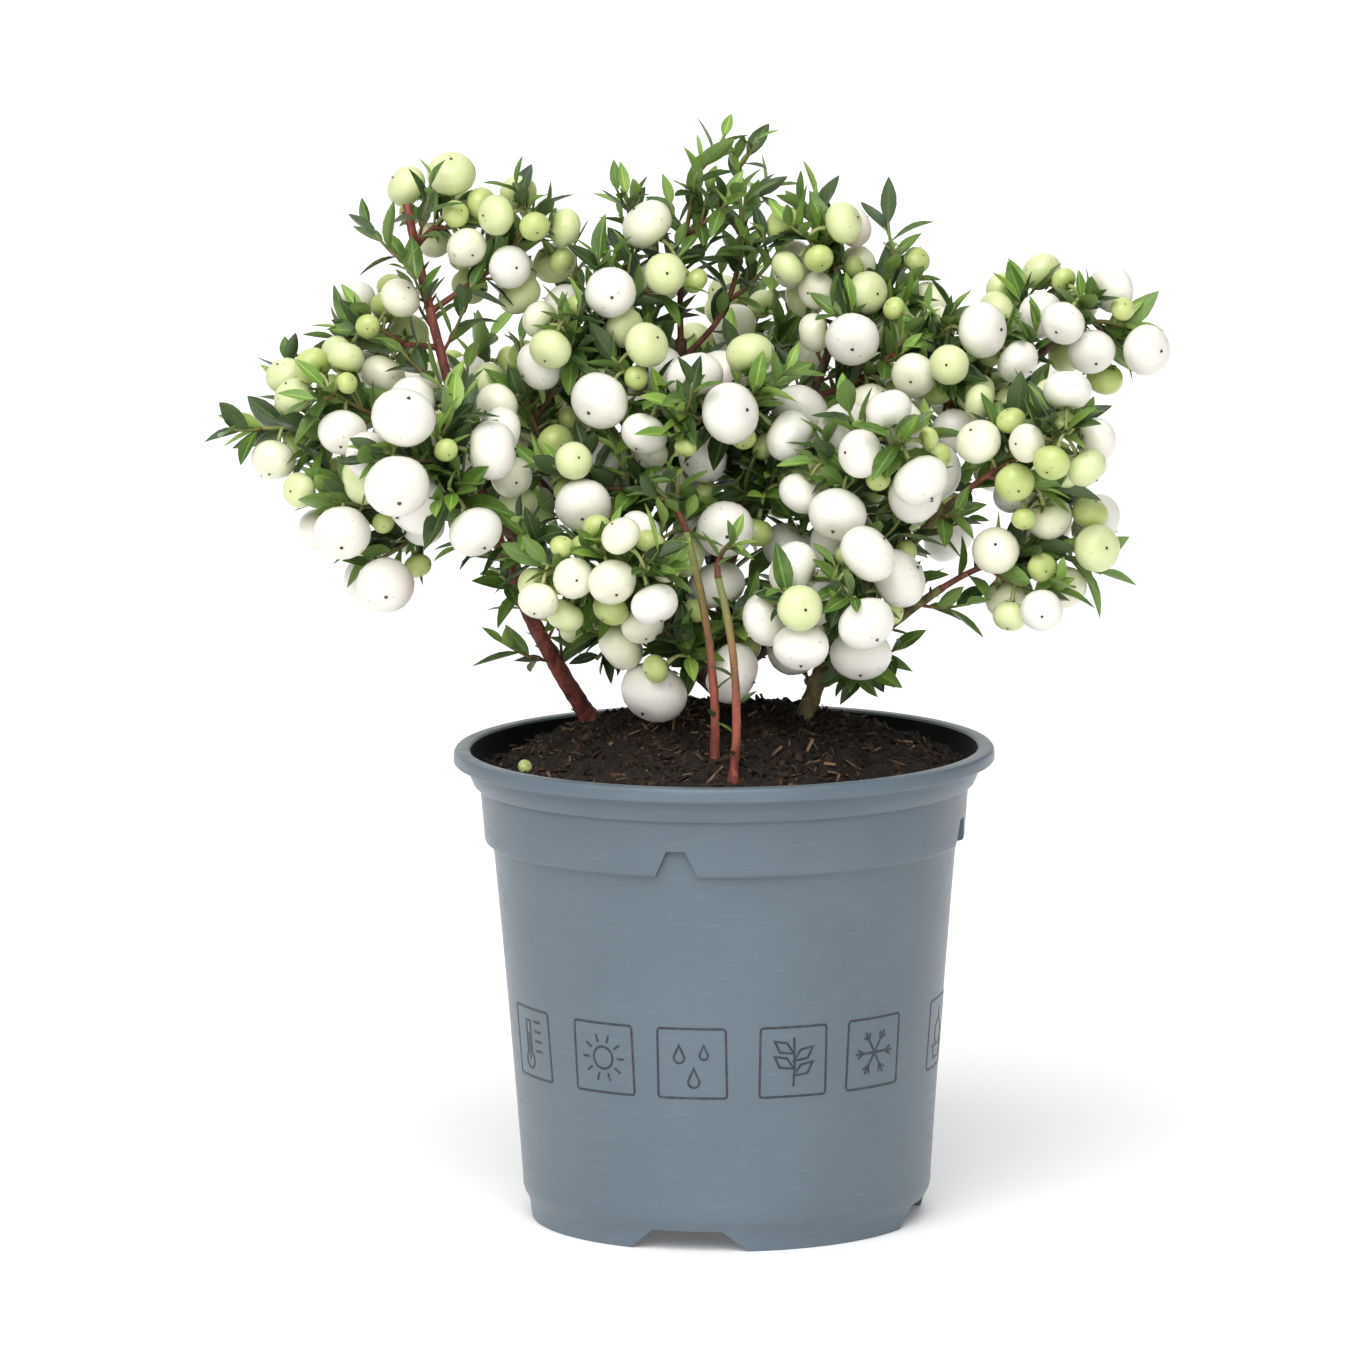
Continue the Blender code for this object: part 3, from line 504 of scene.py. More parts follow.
def sign_material():
    material, nodes, shader = blank_material("care_sign_print")
    worn = patches(nodes, 700.0, 0.3, 0.62)
    base = nodes.mixed(worn, (0.04, 0.055, 0.075), SIGN_COLOUR)
    nodes.tree.links.new(base, shader.inputs["Base Color"])
    shader.inputs["Roughness"].default_value = 0.45
    return material


new_piece("care_signs", sign_mesh(), [sign_material()], "pot_plastic")


# The peat.
# Dark moist peat compost, pressed in by hand and heaped round the stems: a crumbly skin with
# tan fibres, bits of bark and a little moss, and one small unripe berry that has dropped on it.
PEAT_EDGE_HEIGHT = 100.4
PEAT_HEAP = 9.5
PEAT_LUMP = 0.7
PEAT_RADIUS = 54.2
PEAT_RINGS = 70
PEAT_STEPS = 180
PEAT_ROUGHNESS = 1.9
PEAT_EXTRA_HEAP = 3.4
PEAT_COLOUR = (0.0085, 0.005, 0.0034)
PEAT_CRUMB_COLOUR = (0.026, 0.0145, 0.0085)
FIBRE_COLOUR = (0.27, 0.165, 0.085)
MOSS_COLOUR = (0.06, 0.10, 0.015)


def peat_height(x, y):
    """Height of the peat's top: heaped in the middle, low at the wall, and lumpy."""
    heap = max(0.0, 1.0 - (x * x + y * y) / (BODY_TOP_RADIUS * BODY_TOP_RADIUS))
    lumps = math.sin(x * 0.21 + 1.3) * math.cos(y * 0.17 + 0.4) + math.sin(x * 0.11 - y * 0.23)
    return PEAT_EDGE_HEIGHT + PEAT_HEAP * heap ** 0.8 + PEAT_LUMP * lumps * heap


def crumbly(x, y):
    """The peat's top with its crumbs."""
    place = Vector((x, y, 3.0))
    coarse = noise.noise(place * 0.16) * 0.9
    fine = abs(noise.noise(place * 0.45)) * 1.1 + noise.noise(place * 1.3) * 0.35
    middle = max(0.0, 1.0 - (x * x + (y - 8) ** 2) / (BODY_TOP_RADIUS * BODY_TOP_RADIUS))
    return peat_height(x, y) + PEAT_EXTRA_HEAP * middle ** 1.5 + PEAT_ROUGHNESS * (coarse + fine - 0.3)


def peat_mesh():
    vertices = [(0.0, 0.0, crumbly(0.0, 0.0))]
    for ring in range(1, PEAT_RINGS + 1):
        radius = PEAT_RADIUS * ring / PEAT_RINGS
        for step in range(PEAT_STEPS):
            angle = math.tau * step / PEAT_STEPS
            x, y = radius * math.cos(angle), radius * math.sin(angle)
            vertices.append((x, y, crumbly(x, y)))
    for radius, height in (
        (BODY_TOP_RADIUS - 0.9, 93.5), (BODY_TOP_RADIUS - 1.8, 80.0), (BODY_FOOT_RADIUS - 2.2, 6.5)
    ):
        for step in range(PEAT_STEPS):
            angle = math.tau * step / PEAT_STEPS
            vertices.append((radius * math.cos(angle), radius * math.sin(angle), height))
    faces = [(0, 1 + step, 1 + (step + 1) % PEAT_STEPS) for step in range(PEAT_STEPS)]
    for ring in range(PEAT_RINGS + 2):
        low = 1 + ring * PEAT_STEPS
        for step in range(PEAT_STEPS):
            after = (step + 1) % PEAT_STEPS
            faces.append((low + step, low + PEAT_STEPS + step, low + PEAT_STEPS + after, low + after))
    last = 1 + (PEAT_RINGS + 2) * PEAT_STEPS
    faces.append([last + step for step in range(PEAT_STEPS)][::-1])
    mesh = bpy.data.meshes.new("peat_mound")
    mesh.from_pydata([Vector(v) * MM + POT_AXIS for v in vertices], [], faces)
    mesh.shade_smooth()
    return mesh


def earth_material(name, dark, light, rough, scale):
    material, nodes, shader = blank_material(name)
    grains = patches(nodes, scale, 0.4, 0.66, detail=8.0)
    base = nodes.mixed(grains, dark, light)
    nodes.tree.links.new(base, shader.inputs["Base Color"])
    shader.inputs["Roughness"].default_value = rough
    relief(nodes, shader, grains, 0.6, 0.0006)
    return material


PEAT_EARTH = earth_material("peat_earth", PEAT_COLOUR, PEAT_CRUMB_COLOUR, 0.92, 900.0)
new_piece("peat_mound", peat_mesh(), [PEAT_EARTH], "peat", "peat")


def scattered(name, shape, density, seed, smallest, largest, spread, material):
    """Strews a small shape over the peat's top, each turned and sized at random."""
    ground = bpy.data.meshes.new(name + "_ground")
    rings, steps = 24, 48
    points = [(0.0, 0.0)]
    for ring in range(1, rings + 1):
        for step in range(steps):
            angle, radius = math.tau * step / steps, (PEAT_RADIUS - 2.0) * ring / rings
            points.append((radius * math.cos(angle), radius * math.sin(angle)))
    faces = [(0, 1 + step, 1 + (step + 1) % steps) for step in range(steps)]
    for ring in range(rings - 1):
        low = 1 + ring * steps
        for step in range(steps):
            after = (step + 1) % steps
            faces.append((low + step, low + steps + step, low + steps + after, low + after))
    ground.from_pydata([Vector((x, y, crumbly(x, y))) * MM + POT_AXIS for x, y in points], [], faces)
    carrier = bpy.data.objects.new(name + "_ground", ground)
    bpy.context.scene.collection.objects.link(carrier)

    tree = bpy.data.node_groups.new(name, "GeometryNodeTree")
    tree.interface.new_socket("Ground", in_out="INPUT", socket_type="NodeSocketGeometry")
    for label in ("Density", "Smallest", "Largest", "Patchiness"):
        tree.interface.new_socket(label, in_out="INPUT", socket_type="NodeSocketFloat")
    tree.interface.new_socket("Strewn", in_out="OUTPUT", socket_type="NodeSocketGeometry")
    nodes = Nodes(tree)
    inlet = nodes.add("NodeGroupInput")
    cloud = nodes.add("ShaderNodeTexNoise", {"Scale": 55.0, "Detail": 1.0})
    thick = nodes.add("ShaderNodeMapRange", {
        "Value": cloud.outputs["Fac"], "From Min": inlet.outputs["Patchiness"], "From Max": 0.75,
    })
    amount = nodes.add(
        "ShaderNodeMath", {0: thick.outputs["Result"], 1: inlet.outputs["Density"]}, operation="MULTIPLY"
    )
    strewn = nodes.add(
        "GeometryNodeDistributePointsOnFaces",
        {"Mesh": inlet.outputs["Ground"], "Density": amount.outputs[0], "Seed": seed},
    )
    spin = nodes.add("FunctionNodeRandomValue", data_type="FLOAT_VECTOR")
    spin.inputs[0].default_value = (-spread, -spread, -math.pi)
    spin.inputs[1].default_value = (spread, spread, math.pi)
    spin.inputs["Seed"].default_value = seed + 1
    turned = nodes.add("FunctionNodeEulerToRotation", {0: spin.outputs[0]})
    laid = nodes.add(
        "FunctionNodeRotateRotation",
        {"Rotation": strewn.outputs["Rotation"], "Rotate By": turned.outputs[0]},
        rotation_space="LOCAL",
    )
    size = nodes.add("FunctionNodeRandomValue", data_type="FLOAT")
    tree.links.new(inlet.outputs["Smallest"], size.inputs[2])
    tree.links.new(inlet.outputs["Largest"], size.inputs[3])
    size.inputs["Seed"].default_value = seed + 2
    placed = nodes.add("GeometryNodeInstanceOnPoints", {
        "Points": strewn.outputs["Points"], "Instance": shape(nodes),
        "Rotation": laid.outputs[0], "Scale": size.outputs[1],
    })
    real = nodes.add("GeometryNodeRealizeInstances", {"Geometry": placed.outputs[0]})
    coloured = nodes.add("GeometryNodeSetMaterial", {"Geometry": real.outputs[0], "Material": material})
    nodes.add("NodeGroupOutput", {"Strewn": coloured.outputs[0]})
    modifier = carrier.modifiers.new("strew", "NODES")
    modifier.node_group = tree
    sockets = {item.name: item.identifier for item in tree.interface.items_tree if item.in_out == "INPUT"}
    modifier[sockets["Density"]] = density
    modifier[sockets["Smallest"]] = smallest
    modifier[sockets["Largest"]] = largest
    modifier[sockets["Patchiness"]] = 0.3
    bpy.context.view_layer.update()
    graph = bpy.context.evaluated_depsgraph_get()
    mesh = bpy.data.meshes.new_from_object(carrier.evaluated_get(graph))
    bpy.data.objects.remove(carrier)
    mesh.name = name
    new_piece(name, mesh, [], "peat")


def shaped(nodes, source, offset, scale):
    """A primitive moved off its middle and scaled, ready to be strewn."""
    changed = nodes.add("GeometryNodeTransform", {
        "Geometry": source.outputs[0], "Translation": Vector(offset) * MM, "Scale": scale,
    })
    return changed.outputs[0]


def crumb(nodes):
    ball = nodes.add("GeometryNodeMeshIcoSphere", {"Radius": MM, "Subdivisions": 1})
    return shaped(nodes, ball, (0, 0, 0.1), (1.0, 0.75, 0.6))


def bark_bit(nodes):
    chip = nodes.add("GeometryNodeMeshCube", {"Size": Vector((1.0, 1.0, 1.0)) * MM})
    return shaped(nodes, chip, (0, 0, 0.2), (3.0, 1.2, 0.4))


def fibre(nodes):
    straw = nodes.add("GeometryNodeMeshCube", {"Size": Vector((1.0, 1.0, 1.0)) * MM})
    return shaped(nodes, straw, (0, 0, 0.35), (5.0, 0.5, 0.22))


def moss_blade(nodes):
    blade = nodes.add(
        "GeometryNodeMeshCone",
        {"Vertices": 4, "Radius Top": 0.02 * MM, "Radius Bottom": 0.22 * MM, "Depth": 2.2 * MM},
    )
    return shaped(nodes, blade, (0, 0, -0.3), (1.0, 1.0, 1.0))


scattered("peat_crumbs", crumb, 900000.0, 3, 0.35, 1.5, 0.9, PEAT_EARTH)
scattered(
    "bark_bits", bark_bit, 150000.0, 8, 0.4, 1.5, 0.7,
    earth_material("bark_bit", (0.012, 0.007, 0.004), (0.075, 0.036, 0.018), 0.85, 300.0),
)
scattered(
    "peat_fibres", fibre, 130000.0, 15, 0.3, 1.25, 0.55,
    earth_material("peat_fibre", (0.045, 0.022, 0.01), FIBRE_COLOUR, 0.8, 130.0),
)
scattered(
    "moss_tufts", moss_blade, 45000.0, 21, 0.4, 1.0, 0.7,
    earth_material("moss", MOSS_COLOUR, (0.11, 0.16, 0.03), 0.8, 700.0),
)


# The stems and boughs.
# Woody stems that stand in the peat and fork into boughs, with rough fissured bark: red-brown
# on the left, grey-brown at the centre and olive on the right; two thin young stems in front.
UP = Vector((0.0, 0.0, 1.0))
GAP = 0.3
GOLDEN_ANGLE = math.radians(137.5)
LIMB_STEPS = 4
FLARE = 1.5
FLARE_HEIGHT = 2.6
STEEPEST_FORK = math.radians(55.0)
BOUGH_TILT = 1.0
SHOOT_TILT = 0.36
TILT_MARGIN = 0.06
LIMB_FLAT = 0.93
CLEAR = 0.35
BARK_SIDES = 18
BARK_STEP = 0.7
BARK_FLARE = 1.25
BARK_ROUGHNESS = 0.13
FOOT_SUNK = 3.0
FOOT_SWELL = 1.1
FORK_SWELL = 1.12
# How much thinner than its solid a limb shows, where it isn't the usual share.
SLIM = 0.95
SLIMMER = {"stem_left": 0.84, "stem_centre": 0.8, "stem_front_left": 0.86, "stem_front_right": 0.86}


@dataclass
class Stem:
    """A limb that stands on the peat, with its foot and tip in the pot's frame."""

    name: str
    foot: tuple
    tip: tuple
    bow: tuple
    radii: tuple


@dataclass
class Bough:
    """A limb that springs from another one, at a share of that one's length."""

    name: str
    limb: str
    along: float
    tip: tuple
    bow: tuple
    radii: tuple


STEMS = (
    Stem("stem_left", (-30, 14, 109.5), (-52, -12, 161), (-2, 0, 0), (2.4, 1.5)),
    Stem("stem_centre", (2, 8, 111.0), (-4, 9, 152), (2, 0, 0), (3.3, 2.2)),
    Stem("stem_right", (17, 0, 110.0), (26, -4, 133), (0, 0, 0), (2.2, 1.7)),
    Stem("stem_front_left", (-2, -35, 107.4), (-8, -33, 158), (2, 0, 0), (1.15, 0.9)),
    Stem("stem_front_right", (2, -43, 105.4), (-1, -41, 149), (2, 0, 0), (1.15, 0.9)),
)
BOUGHS = (
    Bough("bough_left_upper", "stem_left", 1.0, (-69, -4, 227), (-1, 0, 0), (1.3, 0.95)),
    Bough("bough_left_front", "stem_centre", 0.2, (-50, -27, 159), (2, -4, 3), (1.6, 1.1)),
    Bough("bough_left_inner", "stem_centre", 0.45, (-25, -1, 166), (-2, 0, 0), (1.5, 1.1)),
    Bough("bough_top", "stem_centre", 1.0, (-9, 10, 195), (-1, 0, 0), (1.9, 1.3)),
    Bough("bough_top_right", "stem_centre", 0.86, (25, 5, 196), (2, 0, 0), (1.5, 1.0)),
    Bough("bough_right", "stem_centre", 0.62, (73, 2, 195), (2, 0, -4), (1.7, 1.0)),
    Bough("bough_right_middle", "stem_right", 1.0, (51, -22, 163), (0, 0, 1), (1.5, 1.0)),
    Bough("bough_right_low", "stem_right", 0.55, (48, -18, 143), (0, 0, 1), (1.3, 0.9)),
    Bough("bough_back_left", "stem_centre", 0.3, (-44, 42, 163), (0, 0, -3), (1.6, 1.0)),
    Bough("bough_back", "stem_centre", 0.54, (2, 50, 166), (0, 0, -4), (1.5, 1.0)),
    Bough("bough_back_right", "stem_centre", 0.36, (46, 42, 160), (0, 0, -3), (1.6, 1.0)),
)


def across(vector, run):
    """The part of a vector that lies square to a run, at unit length."""
    part = vector - run * vector.dot(run)
    if part.length < 1e-6:
        part = run.orthogonal()
    return part.normalized()


class Room:
    """The room that limbs and sprays already fill, as rounded bars, each with its owner."""

    def __init__(self):
        self.starts = []
        self.ends = []
        self.radii = []
        self.owners = []

    def fill(self, owner, start, end, radius):
        self.starts.append(tuple(start))
        self.ends.append(tuple(end))
        self.radii.append(radius)
        self.owners.append(owner)

    def fill_path(self, owner, points, radii):
        for start, end, radius in zip(points, points[1:], radii):
            self.fill(owner, start, end, radius)

    def free(self, start, end, radius, beside=CLEAR, without=()):
        """Whether a rounded bar keeps its distance from all that is there but some owners' pieces."""
        if not self.starts:
            return True
        first, run = np.array(start), np.array(end) - np.array(start)
        starts = np.array(self.starts)
        runs = np.array(self.ends) - starts
        away = first - starts
        long_first = max(run @ run, 1e-9)
        long_others = np.maximum((runs * runs).sum(1), 1e-9)
        skew = runs @ run
        near_first = away @ run
        near_others = (runs * away).sum(1)
        spread = np.maximum(long_first * long_others - skew * skew, 1e-9)
        here = np.clip((skew * near_others - near_first * long_others) / spread, 0, 1)
        there = np.clip((skew * here + near_others) / long_others, 0, 1)
        here = np.clip((skew * there - near_first) / long_first, 0, 1)
        between = away + here[:, None] * run - there[:, None] * runs
        room = np.sqrt((between * between).sum(1)) - np.array(self.radii) - radius
        counted = np.array([owner not in without for owner in self.owners])
        return not (room[counted] < beside).any()


@dataclass
class Limb:
    """The middle line and the taper of a stem, bough, shoot or twig."""

    points: list
    radii: list

    def at(self, along):
        """Middle, heading and radius at a share of the length."""
        place = min(along, 1.0) * (len(self.points) - 1)
        index = min(int(place), len(self.points) - 2)
        share = place - index
        start, end = self.points[index], self.points[index + 1]
        radius = self.radii[index] * (1 - share) + self.radii[index + 1] * share
        return start.lerp(end, share), (end - start).normalized(), radius


def bowed(start, end, bow, steps):
    """A line from start to end, pushed aside by the bow at its middle."""
    shares = [step / steps for step in range(steps + 1)]
    return [start.lerp(end, share) + bow * (4 * share * (1 - share)) for share in shares]


def headed(start, heading, end, steps):
    """A curve that leaves start along a heading and bends over to end."""
    turn = start + heading * ((end - start).length * 0.45)
    points = []
    for step in range(steps + 1):
        share = step / steps
        points.append(start.lerp(turn, share).lerp(turn.lerp(end, share), share))
    return points


def tapered(radii, count):
    return [radii[0] + (radii[1] - radii[0]) * step / (count - 1) for step in range(count)]


def spring(limb, along, aim, radius, bend):
    """Where a side limb starts clear of the limb that carries it, and its heading there."""
    middle, run, thick = limb.at(along)
    if along >= 1.0:
        tilt = bend * math.sin((aim - middle).angle(run)) + TILT_MARGIN
        return middle + run * (GAP + radius * tilt), run
    out = across(aim - middle, run)
    fork = min(max((aim - middle).angle(run), STEEPEST_FORK), math.pi - STEEPEST_FORK)
    heading = (out * math.sin(fork) + run * math.cos(fork)).normalized()
    reach = (thick * LIMB_FLAT + GAP + radius * abs(math.cos(fork))) / math.sin(fork)
    return middle + heading * reach, heading


def grown_limbs(room):
    """Every stem and bough by name, with its room filled."""
    limbs = {}
    for stem in STEMS:
        foot = Vector(stem.foot)
        line = bowed(foot, Vector(stem.tip), Vector(stem.bow), LIMB_STEPS)
        flare_top = foot.lerp(line[1], FLARE_HEIGHT / (line[1] - foot).length)
        taper = tapered(stem.radii, LIMB_STEPS + 1)
        points = [foot, flare_top] + line[1:]
        limbs[stem.name] = Limb(points, [stem.radii[0] * FLARE] + taper)
    for bough in BOUGHS:
        tip = Vector(bough.tip)
        start, _ = spring(limbs[bough.limb], bough.along, tip, bough.radii[0], BOUGH_TILT)
        line = bowed(start, tip, Vector(bough.bow), LIMB_STEPS)
        limbs[bough.name] = Limb(line, tapered(bough.radii, LIMB_STEPS + 1))
    for name, limb in limbs.items():
        room.fill_path(name, limb.points, limb.radii)
    return limbs


def smooth_line(points, radii, step):
    """The same line through its points, rounded and cut into steps of even length."""
    ends = [points[0] * 2 - points[1]] + list(points) + [points[-1] * 2 - points[-2]]
    line, sizes = [], []
    for index in range(len(points) - 1):
        p0, p1, p2, p3 = ends[index:index + 4]
        count = max(1, round((p2 - p1).length / step))
        for k in range(count):
            t = k / count
            point = (
                p1 * 2 + (p2 - p0) * t + (p0 * 2 - p1 * 5 + p2 * 4 - p3) * t * t
                + (p1 * 3 - p0 - p2 * 3 + p3) * t * t * t
            ) * 0.5
            line.append(point)
            sizes.append(radii[index] * (1 - t) + radii[index + 1] * t)
    return line + [points[-1]], sizes + [radii[-1]]


class Heap:
    """Vertices, faces and UVs of many like shapes that become one piece."""

    def __init__(self):
        self.vertices = []
        self.faces = []
        self.uvs = []

    def add(self, vertices, faces, uvs):
        first = len(self.vertices)
        self.vertices += vertices
        self.uvs += uvs
        self.faces += [tuple(first + corner for corner in face) for face in faces]

    def mesh(self, name):
        mesh = bpy.data.meshes.new(name)
        places = np.array(self.vertices, dtype=float) * MM + np.array(POT_AXIS)
        mesh.from_pydata(places.tolist(), [], self.faces)
        layer = mesh.uv_layers.new(name="UVMap")
        corners = np.zeros(len(mesh.loops), dtype=np.int32)
        mesh.loops.foreach_get("vertex_index", corners)
        layer.data.foreach_set("uv", np.array(self.uvs, dtype=np.float32)[corners].ravel())
        mesh.shade_smooth()
        mesh.update()
        return mesh


def add_tube(heap, line, sizes, sides, start=0.0, end=1.0, rough=0.0, seed=0):
    """A closed tube; its UV runs up its length from start to end, and its skin may be rough."""
    vertices, uvs, faces = [], [], []
    side = Vector((1.0, 0.3, 0.0))
    for index, (point, size) in enumerate(zip(line, sizes)):
        ahead = line[min(index + 1, len(line) - 1)]
        behind = line[max(index - 1, 0)]
        run = (ahead - behind).normalized()
        side = across(side, run)
        other = run.cross(side)
        up = start + (end - start) * index / (len(line) - 1)
        for corner in range(sides):
            angle = math.tau * corner / sides
            out = side * math.cos(angle) + other * math.sin(angle)
            reach = size
            if rough:
                place = point * 0.28 + out * 2.1 + Vector((seed * 3.7, 0, 0))
                ridges = noise.noise(place) + 0.5 * noise.noise(place * 2.7)
                knots = max(0.0, noise.noise(point * 0.45 + out * 0.8 + Vector((0, seed, 0))) - 0.2)
                reach = size * (1 + rough * ridges) + size * rough * 1.8 * knots
            vertices.append(tuple(point + out * reach))
            uvs.append((corner / sides, up))
    for ring in range(len(line) - 1):
        for corner in range(sides):
            after = (corner + 1) % sides
            low, high = ring * sides, ring * sides + sides
            faces.append((low + corner, low + after, high + after, high + corner))
    faces.append(tuple(range(sides))[::-1])
    top = (len(line) - 1) * sides
    faces.append(tuple(range(top, top + sides)))
    heap.add(vertices, faces, uvs)


def bark_material(name, dark, light, young=None):
    """Fissured bark; a young stem turns from its bark's colour to green up its length."""
    material, nodes, shader = blank_material(name)
    fissures = patches(nodes, 420.0, 0.35, 0.65, (1.0, 1.0, 0.3), 6.0)
    spots = patches(nodes, 900.0, 0.6, 0.7, detail=3.0)
    base = nodes.mixed(fissures, dark, light)
    if young:
        up = nodes.add("ShaderNodeSeparateXYZ", {0: nodes.add("ShaderNodeTexCoord").outputs["UV"]})
        share = nodes.add("ShaderNodeMapRange", {"Value": up.outputs["Y"], "From Min": 0.4, "From Max": 1.0})
        base = nodes.mixed(share.outputs["Result"], base, young)
    pale = nodes.add("ShaderNodeMath", {0: spots, 1: 0.35}, operation="MULTIPLY").outputs[0]
    base = nodes.mixed(pale, base, tuple(min(1.0, c * 2.4 + 0.02) for c in light))
    nodes.tree.links.new(base, shader.inputs["Base Color"])
    shader.inputs["Roughness"].default_value = 0.62
    relief(nodes, shader, fissures, 0.5, 0.0004)
    return material


RED_BARK = bark_material("red_bark", (0.10, 0.022, 0.017), (0.30, 0.08, 0.058))
BROWN_BARK = bark_material("brown_bark", (0.04, 0.02, 0.013), (0.15, 0.085, 0.055))
OLIVE_BARK = bark_material("olive_bark", (0.07, 0.055, 0.02), (0.20, 0.17, 0.065))
YOUNG_BARK = bark_material("young_bark", (0.17, 0.035, 0.024), (0.32, 0.08, 0.045), (0.2, 0.25, 0.07))
LIMB_BARKS = {
    "stem_left": RED_BARK, "bough_left_upper": RED_BARK,
    "stem_front_left": YOUNG_BARK, "stem_front_right": YOUNG_BARK,
    "stem_right": OLIVE_BARK, "bough_right_middle": OLIVE_BARK, "bough_right_low": OLIVE_BARK,
}

STUB_SPACING = 5.0
STUB_LENGTH = (1.2, 2.8)
STUB_RADIUS = 0.42
stubs, stub_chance = Heap(), random.Random(9)
room = Room()
limbs = grown_limbs(room)
carriers = {bough.name: (limbs[bough.limb], bough.along) for bough in BOUGHS}
for number, (name, limb) in enumerate(limbs.items()):
    points = list(limb.points)
    radii = [radius * SLIMMER.get(name, SLIM) for radius in limb.radii]
    if name in carriers:
        carrier, along = carriers[name]
        points = [carrier.at(along)[0]] + points
        radii = [min(radii[0] * FORK_SWELL, carrier.at(along)[2])] + radii
    else:
        radii[0] = radii[1] * BARK_FLARE
        points = [points[0] - UP * FOOT_SUNK] + points
        radii = [radii[0] * FOOT_SWELL] + radii
    line, sizes = smooth_line(points, radii, BARK_STEP)
    bark = Heap()
    add_tube(bark, line, sizes, BARK_SIDES, rough=BARK_ROUGHNESS, seed=number)
    new_piece("bark_" + name, bark.mesh("bark_" + name), [LIMB_BARKS.get(name, BROWN_BARK)], "bark", name)
    if "front" not in name or "bough" in name:
        for _ in range(round((limb.points[-1] - limb.points[0]).length / STUB_SPACING)):
            middle, run, thick = limb.at(stub_chance.uniform(0.05, 0.98))
            thick *= SLIMMER.get(name, SLIM)
            out = Matrix.Rotation(stub_chance.uniform(0, math.tau), 3, run) @ across(UP, run)
            foot = middle + out * (thick * 0.7)
            tip = foot + (out + run * 0.8).normalized() * stub_chance.uniform(*STUB_LENGTH)
            add_tube(stubs, [foot, foot.lerp(tip, 0.6), tip], [STUB_RADIUS, STUB_RADIUS * 0.7, 0.06], 5)
new_piece("leaf_stubs", stubs.mesh("leaf_stubs"), [BROWN_BARK], "bark")


# The sprays: shoots and twigs.
# Wiry young shoots that leave the boughs and branch into short twigs, red-brown where they are
# woody and green at their tips. They are grown by the same seeded rule as the solid sprays.
MAIN_STEPS = 4
SIDE_STEPS = 2
MAIN_RADIUS = 1.2
SIDE_RADIUS = 0.95
SHOOT_THINNESS = 0.62
TWIG_RADIUS = 0.42
BERRY_TRIES = 14


@dataclass
class Spray:
    """A mass of twigs, leaves and berries: where its stem starts, how far it reaches, what it bears."""

    name: str
    limb: str
    along: float
    tip: tuple
    side_shoots: int
    berries: int
    berry: float
    leaves: int
    leaf: float
    seed: int


